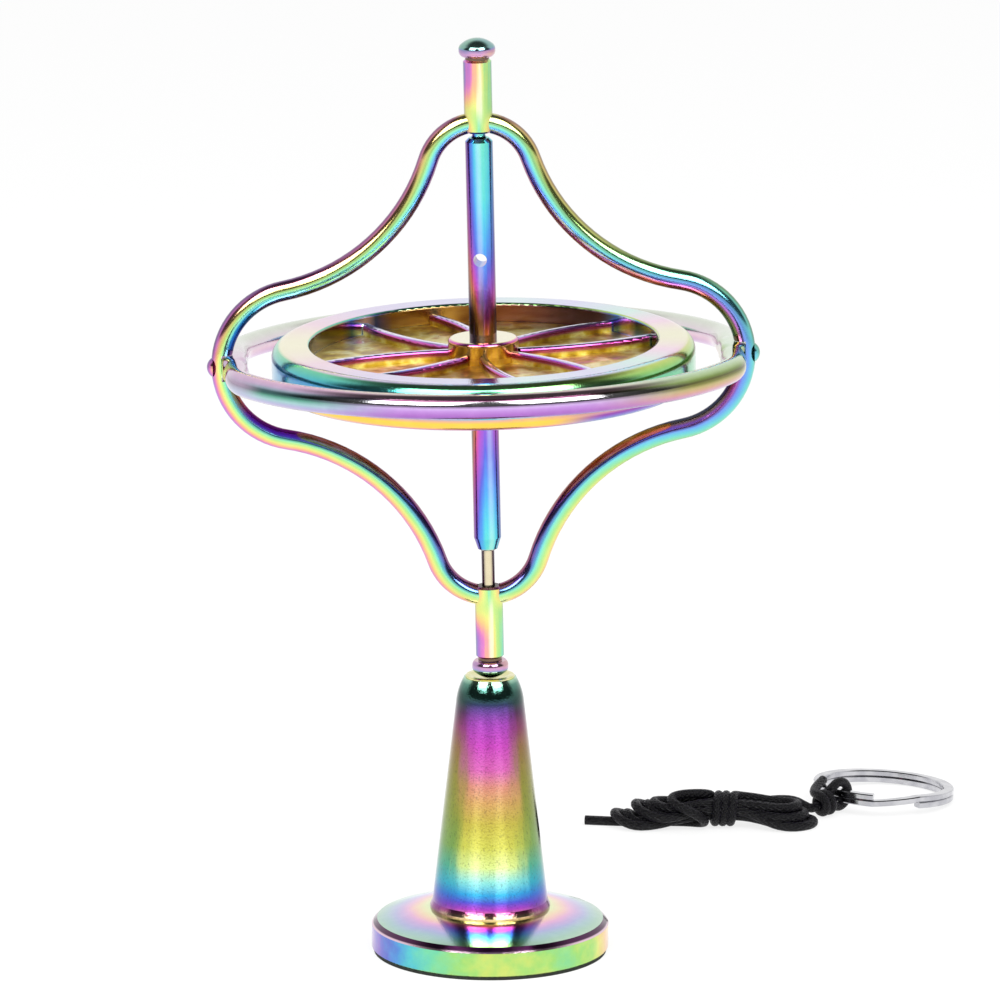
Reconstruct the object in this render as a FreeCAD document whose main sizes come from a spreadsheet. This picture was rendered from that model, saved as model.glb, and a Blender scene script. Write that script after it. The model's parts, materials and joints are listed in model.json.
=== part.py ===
import FreeCAD, Part
import math
import os
import Sketcher

# Gyroscope on a cone stand, with its pull cord. Millimetres, +Z up.
# The origin is at the middle of the stand's underside.

SIZES = {
    # stand
    "pad_inset": (0.25, "pad's edge inside the disc's"),
    "pad_thickness": (0.35, "thin pad under the base"),
    "base_radius": (14.35, "turned base disc"),
    "base_edge_height": (4.0, "top of the disc at its rim, above the floor"),
    "base_bevel": (0.65, "bevel round the disc's top edge"),
    "base_crown": (1.3, "raised middle that carries the cone, above the rim"),
    "base_dome": (42.0, "radius of the slope between rim and middle"),
    "cone_foot_radius": (7.28, "lip at the foot of the cone"),
    "cone_lip": (0.35, "height of the lip's straight edge"),
    "lip_slope": (0.7, "height of the slope from the lip to the cone"),
    "lip_step": (0.31, "lip beyond the cone just above it"),
    "cone_shoulder_radius": (4.13, "cone where the shoulder starts"),
    "shoulder_drop": (3.2, "shoulder below the top"),
    "cone_height": (34.1, "top of the cone, above the floor"),
    "cone_land": (0.15, "flat top of the cone round the cup"),
    "shoulder_round": (7.6, "radius of the shoulder's curve"),
    "stand_screw_radius": (1.5, "screw that joins the disc to the cone"),
    "stand_screw_length": (9.0, "from the top of its head"),
    "stand_screw_head_radius": (2.9, "countersunk head"),
    "stand_screw_head": (1.6, "height of the head"),
    "stand_screw_sink": (0.15, "its head above the disc's underside"),
    "screw_gap": (0.1, "room round the screw in the disc"),
    "socket_radius": (0.95, "drive socket in the screw's head"),
    "socket_depth": (0.8, "socket"),
    "edge_break": (0.25, "small bevel on turned edges"),
    "drill_point": (0.9, "height of the point at the end of a drilled hole"),
    "drill_room": (1.0, "drilled hole beyond the end of the screw"),
    # cup that carries the gyroscope
    "cup_wall": (0.55, "flange of the cup round its dish"),
    "cup_flange": (0.25, "thickness of the flange"),
    "cup_plug_radius": (2.2, "plug in the cone"),
    "cup_plug_length": (2.6, "below the flange"),
    "cup_gap": (0.03, "room round the plug, which turns in its bore"),
    "cup_room": (0.2, "bore below the plug"),
    "cup_edge": (0.12, "bevel on the flange"),
    "dish_room": (0.25, "mouth of the dish round the foot knob"),
    "cup_dish_depth": (0.4, "dish"),
    # pivot knobs
    "knob_radius": (2.2, "flattened bead at each end"),
    "knob_crown": (2.9, "radius of the bead's outer face"),
    "knob_edge": (0.3, "width of the rounded edge beside the outer face"),
    "knob_thickness": (2.15, "bead"),
    "neck_radius": (1.45, "neck under the bead"),
    "neck_length": (0.4, "neck"),
    "pivot_screw_radius": (0.85, "shank of the knob, screwed into the post"),
    "pivot_screw_length": (5.0, "shank"),
    "centre_hollow": (0.45, "depth of the hollow in the end of the shank"),
    "pivot_slack": (0.05, "end play at a pivot"),
    # cage
    "rotor_gap": (4.5, "from the flywheel to the level ring"),
    "cage_half_height": (29.0, "middle of the wire, on the axis"),
    "loop_wire": (2.45, "diameter of the upright loop's wire"),
    "crown_bend": (6.4, "wire bend beside each post"),
    "flank_bend": (23.0, "hollow bend of each flank"),
    "knee_bend": (9.25, "wire bend at the equator"),
    "post_radius": (1.7, "post at each pole"),
    "post_inset": (0.025, "inner end of a post behind the wire's inner side"),
    "post_length": (7.65, "post outward from the middle of the wire"),
    "ring_wire": (3.0, "diameter of the level ring's wire"),
    "ring_level": (2.5, "degrees that the ring sits out of level in its joints"),
    "lap_slack": (0.02, "room in the half-lap joints"),
    "rivet_radius": (0.6, "shank"),
    "rivet_head_radius": (1.2, "domed head"),
    "rivet_head": (0.7, "height of the head"),
    "rivet_flat": (0.175, "depth of the flat under the head"),
    "rivet_tail": (0.12, "its tail below the ring's inner side"),
    "rivet_room": (0.05, "flat beyond the edge of the head"),
    "bush_wall": (0.4, "bearing bush in a post"),
    "bush_length": (1.9, "bush"),
    "bush_collar": (0.15, "collar beyond the bush, sunk into the post"),
    "bush_flange": (0.3, "thickness of the collar"),
    "bush_edge": (0.1, "bevel on the collar"),
    # rotor
    "shaft_radius": (1.65, "rotor shaft"),
    "upper_gap": (0.65, "from the upper shoulder to the post"),
    "lower_gap": (4.6, "from the lower shoulder to the post"),
    "shaft_chamfer": (0.45, "how far the shaft narrows at both shoulders"),
    "shaft_taper": (1.4, "length over which it narrows at the lower one"),
    "pin_radius": (0.79, "pivot pin at each end"),
    "pin_slack": (0.03, "room round a pin in its bush"),
    "pin_flare": (0.35, "hollow round where a pin leaves its shoulder"),
    "pin_point": (0.5, "height of the point on a pin"),
    "string_hole_radius": (0.8, "hole for the pull cord"),
    "string_hole_height": (12.5, "above the cage's middle"),
    "string_hole_turn": (-8.0, "degrees that the hole is turned from the front"),
    "rotor_radius": (25.4, "flywheel"),
    "rim_width": (4.55, "rim, from its inside to its outside"),
    "rim_top": (2.45, "above the cage's middle"),
    "rim_height": (5.65, "rim"),
    "rim_round": (1.6, "outer edges of the rim"),
    "rim_inner_round": (0.35, "inner edges of the rim"),
    "web_thickness": (1.0, "floor between rim and hub"),
    "hub_radius": (4.25, "hub"),
    "hub_rise": (0.35, "ends of the hub beyond the rim's"),
    "hub_round": (0.5, "edges of the hub"),
    "rib_pairs": (4, "pairs of curved ribs"),
    "rib_turn": (28.0, "degrees from the side to the first pair"),
    "rib_thickness": (1.15, "rib"),
    "rib_drop": (1.05, "rib's crest below the rim's top"),
    "rib_round": (0.42, "edges of a rib's crest"),
    "rib_root_gap": (2.1, "from a pair's middle line to a rib, at the hub"),
    "rib_end_gap": (4.55, "from a pair's middle line to a rib, at the rim"),
    "rib_bow": (32.0, "radius of a rib's bend"),
    "rib_sink": (0.6, "rib's ends inside the rim and the hub"),
    # how the gyroscope stands
    "lean_angle": (1.2, "degrees that it leans to the left at rest"),
    "cage_turn": (2.0, "degrees that its left side is turned forward"),
    # pull cord
    "cord_radius": (0.6, "braided cord"),
    "cord_behind": (57.0, "middle of the hank, behind the stand"),
    "hank_left": (15.0, "left end of the hank"),
    "hank_right": (41.7, "right end of the hank"),
    "hank_width": (7.0, "widest part"),
    "hank_height": (3.4, "hank"),
    "hank_taper": (4.0, "from an end to the widest part"),
    "hank_end": (1.2, "half the width of an end"),
    "fold_along": (1.4, "fold at each end, along the hank"),
    "fold_across": (0.7, "fold at each end, across the hank"),
    "wrap_middle": (29.4, "middle of the wrap round the hank"),
    "wrap_length": (4.0, "along the hank"),
    "wrap_width": (5.1, "across the hank"),
    "wrap_height": (4.7, "wrap"),
    "waist_width": (3.8, "hank beside the wrap"),
    "bight_left": (22.8, "left end of the small bight beside the wrap"),
    "bight_width": (3.4, "bight"),
    "bight_middle": (1.1, "its middle in front of the hank's"),
    "lead_along": (1.6, "where the lead leaves, before the right end"),
    "lead_across": (1.0, "where the lead leaves, inside the widest part"),
    "lead_face": (0.8, "half the flat that it leaves, along the hank"),
    "tail_offset": (0.2, "bare end behind the hank's middle"),
    "tail_straight": (1.5, "its straight part beyond the hank"),
    "tail_reach": (2.9, "its tip beyond the hank"),
    "tail_drift": (0.4, "its tip behind its straight part"),
    "split_ring_radius": (9.0, "outside of the split ring"),
    "split_ring_band": (1.35, "width of its wire"),
    "split_ring_wire": (0.75, "thickness of one turn"),
    "split_ring_gap": (0.03, "between its two turns"),
    "split_ring_edge": (0.12, "bevel on the wire"),
    "split_ring_ramp": (40.0, "degrees of the slope from one turn to the other"),
    "split_ring_across": (50.2, "its middle, to the right of the stand"),
    "split_ring_behind": (69.7, "its middle, behind the stand"),
    "split_ring_turn": (259.0, "degrees to the end of its upper turn"),
    "knot_bearing": (225.0, "degrees from the ring's middle to the knot"),
    "knot_length": (3.1, "knot"),
    "knot_radius": (1.65, "knot"),
    "loop_gap": (0.03, "from the split ring's wire to the cord round it"),
    "knot_gap": (0.4, "from the split ring to the knot"),
}


class Term:
    """A size with its number and the expression that gives it in the document."""

    def __init__(self, number, text):
        self.number, self.text = float(number), text

    def __add__(self, other):
        other = term(other)
        return Term(self.number + other.number, f"({self.text} + {other.text})")

    def __sub__(self, other):
        other = term(other)
        return Term(self.number - other.number, f"({self.text} - {other.text})")

    def __mul__(self, other):
        other = term(other)
        return Term(self.number * other.number, f"({self.text} * {other.text})")

    def __truediv__(self, other):
        other = term(other)
        return Term(self.number / other.number, f"({self.text} / {other.text})")

    def __neg__(self):
        return Term(-self.number, f"(0 - {self.text})")

    __radd__ = __add__

    def __rsub__(self, other):
        return term(other) - self

    def __rmul__(self, other):
        return self * other


def term(value):
    return value if isinstance(value, Term) else Term(value, f"{value:g}")


def root(value):
    return Term(math.sqrt(value.number), f"sqrt({value.text})")


def make_sheet(doc):
    """Put the driving sizes in a spreadsheet and give each back as a Term."""
    sheet = doc.addObject("Spreadsheet::Sheet", "Sizes")
    terms = {}
    for row, (alias, (value, note)) in enumerate(SIZES.items(), start=1):
        sheet.set(f"A{row}", alias)
        sheet.set(f"B{row}", f"{value:g}")
        sheet.setAlias(f"B{row}", alias)
        sheet.set(f"C{row}", note)
        terms[alias] = Term(value, f"Sizes.{alias}")
    doc.recompute()
    return terms


doc = FreeCAD.newDocument("gyroscope_on_stand")
S = make_sheet(doc)
PARTS = []

SEAT_HEIGHT = S["base_edge_height"] + S["base_crown"]
KNOB_CROWN_EDGE = S["knob_radius"] - S["knob_edge"]
DISH_MOUTH = S["knob_radius"] + S["dish_room"]
CUP_RIM = DISH_MOUTH + S["cup_wall"]
CAGE_HALF_WIDTH = S["rotor_radius"] + S["rotor_gap"] + S["ring_wire"] / 2
POST_INNER = S["cage_half_height"] - S["loop_wire"] / 2 + S["post_inset"]
POST_OUTER = S["cage_half_height"] + S["post_length"]
RIVET_SEAT = S["loop_wire"] / 2 - S["rivet_flat"]
PIN_BORE = S["pin_radius"] + S["pin_slack"]
BUSH_RADIUS = PIN_BORE + S["bush_wall"]
COLLAR_RADIUS = BUSH_RADIUS + S["bush_collar"]


# ---------------------------------------------------------------- helpers


def new_body(name):
    body = doc.addObject("PartDesign::Body", name)
    body.Label = name
    PARTS.append(body)
    return body


def plane(body, role):
    return next(f for f in body.Origin.OriginFeatures if f.Role == role)


def new_sketch(body, name, role):
    sketch = body.newObject("Sketcher::SketchObject", name)
    sketch.AttachmentSupport = [(plane(body, role), "")]
    sketch.MapMode = "FlatFace"
    return sketch


def bind(thing, path, value):
    """Set a property or a constraint from the sheet."""
    thing.setExpression(path, value.text)


def fix_point(sketch, edge, end, place):
    """Hold one end of a sketch edge at a place given as two Terms."""
    for value, kind, axis in ((place[0], "DistanceX", -2), (place[1], "DistanceY", -1)):
        if abs(value.number) < 1e-9:
            sketch.addConstraint(Sketcher.Constraint("PointOnObject", edge, end, axis))
            continue
        at = sketch.addConstraint(
            Sketcher.Constraint(kind, -1, 1, edge, end, value.number)
        )
        bind(sketch, f"Constraints[{at}]", value)


def arc_between(start, end, radius, side):
    """The shorter arc between two points that bulges to the left of the way
    from start to end where side is 1, and to the right where it is -1."""
    (x0, y0), (x1, y1) = start, end
    chord = math.hypot(x1 - x0, y1 - y0)
    away = side * math.sqrt(radius**2 - chord**2 / 4) / chord
    cx = (x0 + x1) / 2 + away * (y1 - y0)
    cy = (y0 + y1) / 2 - away * (x1 - x0)
    first, last = ((x1, y1), (x0, y0)) if side > 0 else ((x0, y0), (x1, y1))
    a, b = (math.atan2(y - cy, x - cx) for x, y in (first, last))
    circle = Part.Circle(FreeCAD.Vector(cx, cy, 0), FreeCAD.Vector(0, 0, 1), radius)
    return Part.ArcOfCircle(circle, a, b if b > a else b + 2 * math.pi)


def end_at(sketch, edge, place):
    """Which end of a sketch edge is at a place: 1 for its start, 2 for its end."""
    start = sketch.Geometry[edge].StartPoint
    return 1 if math.dist((start.x, start.y), place) < 1e-4 else 2


def draw(sketch, steps):
    """Close an outline. A step is (x, y), or (x, y, radius, side) for an arc that
    ends there, with side 1 where it bulges to the left of the way it is drawn."""
    corners = [tuple(term(v) for v in step[:2]) for step in steps]
    flat = [(x.number, y.number) for x, y in corners]
    for i, step in enumerate(steps):
        start, end = flat[i - 1], flat[i]
        if len(step) == 2:
            a, b = FreeCAD.Vector(*start, 0), FreeCAD.Vector(*end, 0)
            sketch.addGeometry(Part.LineSegment(a, b), False)
        else:
            radius = term(step[2]).number
            sketch.addGeometry(arc_between(start, end, radius, step[3]), False)
    for i, corner in enumerate(corners):
        after = (i + 1) % len(steps)
        here, there = end_at(sketch, i, flat[i]), end_at(sketch, after, flat[i])
        sketch.addConstraint(Sketcher.Constraint("Coincident", i, here, after, there))
        fix_point(sketch, i, here, corner)
    for i, step in enumerate(steps):
        if len(step) == 4:
            radius = term(step[2])
            at = sketch.addConstraint(Sketcher.Constraint("Radius", i, radius.number))
            bind(sketch, f"Constraints[{at}]", radius)


def draw_circle(sketch, x, y, radius):
    centre = FreeCAD.Vector(x.number, y.number, 0)
    normal = FreeCAD.Vector(0, 0, 1)
    edge = sketch.addGeometry(Part.Circle(centre, normal, radius.number), False)
    fix_point(sketch, edge, 3, (x, y))
    at = sketch.addConstraint(Sketcher.Constraint("Radius", edge, radius.number))
    bind(sketch, f"Constraints[{at}]", radius)


def turn_round(body, name, steps, kind="Revolution"):
    """Revolve an outline given as radius and height about the body's Z axis."""
    sketch = new_sketch(body, name + "_outline", "XZ_Plane")
    draw(sketch, steps)
    feature = body.newObject("PartDesign::" + kind, name)
    feature.Profile = sketch
    feature.ReferenceAxis = (sketch, ["V_Axis"])
    feature.Angle = 360
    sketch.Visibility = False
    doc.recompute()
    return feature


def place_on_gyro(body, height=None, turn="0", roll="0"):
    """Stand a sub-part on the foot's pivot, leaning with the cage, at a height
    on the cage's axis and turned about that axis or rolled about the joints."""
    height = (height or term(0)).text
    body.setExpression(
        "Placement",
        f"placement(vector(0; 0; {PIVOT_HEIGHT.text});"
        " rotation(Sizes.cage_turn; -Sizes.lean_angle; 0))"
        f" * placement(vector(0; 0; {height}); rotation({turn}; 0; {roll}))",
    )


def primitive(kind, name, **sizes):
    """A Part primitive whose sizes are Terms."""
    thing = doc.addObject("Part::" + kind, name)
    for key, value in sizes.items():
        bind(thing, key, term(value))
    return thing


def combine(kind, name, base, tool):
    """A Part boolean, such as Cut, Fuse or Common."""
    thing = doc.addObject("Part::" + kind, name)
    thing.Base, thing.Tool = base, tool
    return thing


# ---------------------------------------------------------------- stand


def make_base_pad():
    body = new_body("base_pad")
    turn_round(body, "pad", [
        (0, 0),
        (S["base_radius"] - S["pad_inset"], 0),
        (S["base_radius"] - S["pad_inset"], S["pad_thickness"]),
        (0, S["pad_thickness"]),
    ])


SCREW_LOW = S["pad_thickness"] + S["stand_screw_sink"]
SCREW_HEAD_TOP = SCREW_LOW + S["stand_screw_head"]


def make_base_disc():
    """Turned disc: bevelled rim, shallow dome and a flat seat for the cone."""
    low, head = S["pad_thickness"], S["stand_screw_head_radius"]
    bore = S["stand_screw_radius"] + S["screw_gap"]
    steepness = S["stand_screw_head"] / (head - S["stand_screw_radius"])
    body = new_body("base_disc")
    turn_round(body, "disc", [
        (bore, SCREW_HEAD_TOP - S["screw_gap"] * steepness),
        (head, SCREW_LOW),
        (head, low),
        (S["base_radius"] - S["edge_break"], low),
        (S["base_radius"], low + S["edge_break"]),
        (S["base_radius"], S["base_edge_height"] - S["base_bevel"]),
        (S["base_radius"] - S["base_bevel"], S["base_edge_height"]),
        (S["cone_foot_radius"], SEAT_HEIGHT, S["base_dome"], -1),
        (bore, SEAT_HEIGHT),
    ])


def make_stand_screw():
    """Countersunk screw that comes up through the disc into the cone."""
    r, ease = S["stand_screw_radius"], S["edge_break"]
    top = SCREW_LOW + S["stand_screw_length"]
    floor = SCREW_LOW + S["socket_depth"]
    body = new_body("stand_screw")
    turn_round(body, "screw", [
        (0, floor),
        (S["socket_radius"], floor),
        (S["socket_radius"], SCREW_LOW),
        (S["stand_screw_head_radius"], SCREW_LOW),
        (r, SCREW_HEAD_TOP),
        (r, top - ease),
        (r - ease, top),
        (0, top),
    ])


CUP_TOP = S["cone_height"] + S["cup_flange"]
CUP_LOW = S["cone_height"] - S["cup_plug_length"]
CUP_BORE = S["cup_plug_radius"] + S["cup_gap"]


def make_stand_cone():
    """Cone with a lip at its foot, a rounded shoulder and a bore for the cup."""
    lip_top = SEAT_HEIGHT + S["cone_lip"]
    tip = SCREW_LOW + S["stand_screw_length"] + S["drill_room"]
    floor = CUP_LOW - S["cup_room"]
    body = new_body("stand_cone")
    turn_round(body, "cone", [
        (S["stand_screw_radius"], SEAT_HEIGHT),
        (S["cone_foot_radius"], SEAT_HEIGHT),
        (S["cone_foot_radius"], lip_top),
        (S["cone_foot_radius"] - S["lip_step"], lip_top + S["lip_slope"]),
        (S["cone_shoulder_radius"], S["cone_height"] - S["shoulder_drop"]),
        (CUP_RIM + S["cone_land"], S["cone_height"], S["shoulder_round"], -1),
        (CUP_BORE, S["cone_height"]),
        (CUP_BORE, floor),
        (0, floor - S["drill_point"]),
        (0, tip + S["drill_point"]),
        (S["stand_screw_radius"], tip),
    ])


DISH_RADIUS = (
    DISH_MOUTH * DISH_MOUTH + S["cup_dish_depth"] * S["cup_dish_depth"]
) / (2 * S["cup_dish_depth"])
DISH_BOTTOM = CUP_TOP - S["cup_dish_depth"]


def make_cup():
    """Flanged cup set in the cone's mouth; the foot knob stands in its dish."""
    ease = S["cup_edge"]
    body = new_body("cup_seat")
    turn_round(body, "cup", [
        (0, CUP_LOW),
        (S["cup_plug_radius"], CUP_LOW),
        (S["cup_plug_radius"], S["cone_height"]),
        (CUP_RIM, S["cone_height"]),
        (CUP_RIM, CUP_TOP - ease),
        (CUP_RIM - ease, CUP_TOP),
        (DISH_MOUTH, CUP_TOP),
        (0, DISH_BOTTOM, DISH_RADIUS, 1),
    ])


# ------------------------------------------------- gyroscope, on its pivot
# The bodies below share a frame whose origin is the centre of the foot
# knob's crown, so that leaning about it keeps the knob seated in the cup.

PIVOT_HEIGHT = DISH_BOTTOM + S["pivot_slack"] + S["knob_crown"]
KNOB_END = POST_OUTER + S["neck_length"] + S["knob_thickness"]
CENTRE = KNOB_END - S["knob_crown"]
CROWN_SINK = S["knob_crown"] - root(
    S["knob_crown"] * S["knob_crown"] - KNOB_CROWN_EDGE * KNOB_CROWN_EDGE
)
SHANK_END = POST_OUTER - S["pivot_screw_length"]
EDGE_FULLNESS = 1.15


def mirror_heights(steps, way):
    """Heights measured from the cage's middle, up or down."""
    out = []
    for step in steps:
        height = CENTRE + way * term(step[1])
        bend = (step[2], step[3] * way) if len(step) == 4 else ()
        out.append((step[0], height, *bend))
    return out


def make_knob(name, way):
    """Pivot screw: a flattened bead, its neck and the shank inside the post."""
    bead = POST_OUTER + S["neck_length"]
    crown_low = KNOB_END - CROWN_SINK
    edge = (crown_low - bead) / 2
    bend = edge * EDGE_FULLNESS
    steps = [
        (0, SHANK_END + S["centre_hollow"]),
        (S["pivot_screw_radius"], SHANK_END),
        (S["pivot_screw_radius"], POST_OUTER),
        (S["neck_radius"], POST_OUTER),
        (S["neck_radius"], bead),
        (KNOB_CROWN_EDGE, bead),
        (S["knob_radius"], bead + edge, bend, -1),
        (KNOB_CROWN_EDGE, crown_low, bend, -1),
        (0, KNOB_END, S["knob_crown"], -1),
    ]
    body = new_body(name)
    turn_round(body, name + "_turned", mirror_heights(steps, way))
    place_on_gyro(body)


def loop_joins():
    """The two points where the three bends in one quarter of the loop run
    into each other."""
    width, height = CAGE_HALF_WIDTH.number, S["cage_half_height"].number
    crown, flank, knee = (S[k].number for k in ("crown_bend", "flank_bend", "knee_bend"))
    a, c = (0, height - crown), (width - knee, 0)
    near, far = crown + flank, flank + knee
    span = math.dist(a, c)
    along = (near**2 - far**2 + span**2) / (2 * span)
    across = math.sqrt(near**2 - along**2)
    ux, uy = (c[0] - a[0]) / span, (c[1] - a[1]) / span
    b = (a[0] + along * ux - across * uy, a[1] + along * uy + across * ux)

    def between(p, q, reach):
        share = reach / math.dist(p, q)
        return (p[0] + (q[0] - p[0]) * share, p[1] + (q[1] - p[1]) * share)

    return between(a, b, crown), between(c, b, knee)


def draw_loop_path(sketch):
    """The upright loop's middle line: four quarters of three tangent bends."""
    (t1x, t1z), (t2x, t2z) = loop_joins()
    crown, flank, knee = (S[k] for k in ("crown_bend", "flank_bend", "knee_bend"))
    top, side = S["cage_half_height"].number, CAGE_HALF_WIDTH.number
    middle = CENTRE.number

    def at(place, sx, sz):
        return (sx * place[0], middle + sz * place[1])

    quarter = [
        ((0, top), (t1x, t1z), crown, 1),
        ((t1x, t1z), (t2x, t2z), flank, -1),
        ((t2x, t2z), (side, 0), knee, 1),
    ]
    edges = {}
    for sx, sz in ((1, 1), (1, -1), (-1, -1), (-1, 1)):
        for number, (p, q, radius, way) in enumerate(quarter):
            arc = arc_between(at(p, sx, sz), at(q, sx, sz), radius.number, way * sx * sz)
            edge = sketch.addGeometry(arc, False)
            constraint = Sketcher.Constraint("Radius", edge, radius.number)
            bind(sketch, f"Constraints[{sketch.addConstraint(constraint)}]", radius)
            edges[sx, sz, number] = edge

    def run_on(e, f, here):
        """Join two edges smoothly, and give back the end of the first."""
        end = end_at(sketch, e, here)
        sketch.addConstraint(
            Sketcher.Constraint("Tangent", e, end, f, end_at(sketch, f, here))
        )
        return end

    for sx, sz in ((1, 1), (1, -1), (-1, -1), (-1, 1)):
        run_on(edges[sx, sz, 0], edges[sx, sz, 1], at((t1x, t1z), sx, sz))
        run_on(edges[sx, sz, 1], edges[sx, sz, 2], at((t2x, t2z), sx, sz))
    for sx in (1, -1):
        e, f = edges[sx, 1, 2], edges[sx, -1, 2]
        end = run_on(e, f, at((side, 0), sx, 1))
        sketch.addConstraint(Sketcher.Constraint("Horizontal", e, 3, e, end))
        fix_point(sketch, e, end, (sx * CAGE_HALF_WIDTH, CENTRE))
    for sz in (1, -1):
        e, f = edges[1, sz, 0], edges[-1, sz, 0]
        end = run_on(e, f, at((0, top), 1, sz))
        sketch.addConstraint(Sketcher.Constraint("Vertical", e, 3, e, end))
        fix_point(sketch, e, end, (term(0), CENTRE + sz * S["cage_half_height"]))


LEVEL_SINE = math.sin(math.radians(S["ring_level"].number))
LAP_ROOM_LOOP = S["lap_slack"] + S["loop_wire"] / 2 * LEVEL_SINE
LAP_ROOM_RING = S["lap_slack"] + S["ring_wire"] / 2 * LEVEL_SINE


def make_cage_loop():
    """Upright loop cast with a post at each pole, notched for the level ring."""
    body = new_body("cage_loop")
    path = new_sketch(body, "loop_path", "XZ_Plane")
    draw_loop_path(path)
    section = doc.addObject("Sketcher::SketchObject", "loop_section")
    body.addObject(section)
    section.AttachmentSupport = [(plane(body, "XY_Plane"), "")]
    section.MapMode = "FlatFace"
    bind(section, "AttachmentOffset.Base.z", CENTRE)
    draw_circle(section, CAGE_HALF_WIDTH, term(0), S["loop_wire"] / 2)
    doc.recompute()
    pipe = body.newObject("PartDesign::AdditivePipe", "loop_wire_bent")
    pipe.Profile = section
    pipe.Spine = path
    doc.recompute()
    inner, outer, ease = POST_INNER, POST_OUTER, S["edge_break"]
    collar_end, bush_end = inner + S["bush_flange"], inner + S["bush_length"]
    for name, way in (("post_above", 1), ("post_below", -1)):
        turn_round(body, name, mirror_heights([
            (0, inner),
            (S["post_radius"] - ease, inner),
            (S["post_radius"], inner + ease),
            (S["post_radius"], outer - ease),
            (S["post_radius"] - ease, outer),
            (0, outer),
        ], way))
        turn_round(body, name + "_bore", mirror_heights([
            (0, inner - S["loop_wire"]),
            (COLLAR_RADIUS, inner - S["loop_wire"]),
            (COLLAR_RADIUS, collar_end),
            (BUSH_RADIUS, collar_end),
            (BUSH_RADIUS, bush_end),
            (S["pivot_screw_radius"], bush_end),
            (S["pivot_screw_radius"], outer + ease),
            (0, outer + ease),
        ], way), "Groove")
    notch_loop(body)
    place_on_gyro(body)


def pocket_through(body, name, role, shape):
    """Cut a sketched shape both ways through the body."""
    sketch = new_sketch(body, name + "_outline", role)
    shape(sketch)
    doc.recompute()
    cut = body.newObject("PartDesign::Pocket", name)
    cut.Profile = sketch
    cut.Type = "ThroughAll"
    cut.SideType = "Two sides"
    cut.Type2 = "ThroughAll"
    doc.recompute()
    return cut


def notch_loop(body):
    """Take the inner half of the wire away where the ring crosses it, flatten
    the outside under each rivet head and drill for the rivet."""
    half = S["ring_wire"] / 2 + LAP_ROOM_LOOP
    middle = CAGE_HALF_WIDTH
    inner = middle - S["loop_wire"]
    flat = middle + RIVET_SEAT
    outer = middle + S["loop_wire"]
    for side in (1, -1):
        tag = "right" if side > 0 else "left"

        def notch(sketch, side=side):
            draw(sketch, [
                (side * inner, CENTRE - half),
                (side * middle, CENTRE - half),
                (side * middle, CENTRE + half),
                (side * inner, CENTRE + half),
            ])

        def spot(sketch, side=side):
            reach = S["rivet_head_radius"] + S["rivet_room"]
            draw(sketch, [
                (side * flat, CENTRE - reach),
                (side * outer, CENTRE - reach),
                (side * outer, CENTRE + reach),
                (side * flat, CENTRE + reach),
            ])

        pocket_through(body, "lap_notch_" + tag, "XZ_Plane", notch)
        pocket_through(body, "rivet_flat_" + tag, "XZ_Plane", spot)

    def hole(sketch):
        draw_circle(sketch, term(0), CENTRE, S["rivet_radius"])

    pocket_through(body, "rivet_holes", "YZ_Plane", hole)


def make_equator_ring():
    """Level ring: a torus with its outer half cut away at the two laps."""
    torus = primitive(
        "Torus", "ring_wire_round", Radius1=CAGE_HALF_WIDTH, Radius2=S["ring_wire"] / 2
    )
    ring = torus
    reach = S["loop_wire"] / 2 + LAP_ROOM_RING
    for side in (1, -1):
        tag = "right" if side > 0 else "left"
        box = primitive(
            "Box", "ring_lap_" + tag,
            Length=S["ring_wire"], Width=2 * reach, Height=2 * S["ring_wire"],
        )
        start = CAGE_HALF_WIDTH if side > 0 else -(CAGE_HALF_WIDTH + S["ring_wire"])
        bind(box, "Placement.Base.x", start)
        bind(box, "Placement.Base.y", -reach)
        bind(box, "Placement.Base.z", -S["ring_wire"])
        ring = combine("Cut", "ring_cut_" + tag, ring, box)
    drill = primitive(
        "Cylinder", "ring_drill", Radius=S["rivet_radius"], Height=3 * CAGE_HALF_WIDTH
    )
    bind(drill, "Placement.Base.x", -1.5 * CAGE_HALF_WIDTH)
    bind(drill, "Placement.Rotation.Pitch", term(90))
    ring = combine("Cut", "equator_ring", ring, drill)
    ring.Label = "equator_ring"
    place_on_gyro(ring, height=CENTRE, roll="-Sizes.ring_level")
    PARTS.append(ring)


def make_rivets():
    """Two identical rivets, each with its head outside and its tail set inside."""
    middle, head = CAGE_HALF_WIDTH, S["rivet_head"]
    flat = middle + RIVET_SEAT
    tail = middle - S["ring_wire"] / 2 + S["rivet_tail"]
    crown = (
        S["rivet_head_radius"] * S["rivet_head_radius"] + head * head
    ) / (2 * head)
    for side in (1, -1):
        tag = "right" if side > 0 else "left"
        body = new_body("rivet_" + tag)
        sketch = new_sketch(body, f"rivet_{tag}_outline", "XZ_Plane")
        draw(sketch, [
            (side * tail, CENTRE),
            (side * tail, CENTRE + S["rivet_radius"]),
            (side * flat, CENTRE + S["rivet_radius"]),
            (side * flat, CENTRE + S["rivet_head_radius"]),
            (side * (flat + head), CENTRE, crown, side),
        ])
        turn = body.newObject("PartDesign::Revolution", f"rivet_{tag}_turned")
        turn.Profile = sketch
        turn.ReferenceAxis = (sketch, ["Edge1"])
        turn.Angle = 360
        place_on_gyro(body)


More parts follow.
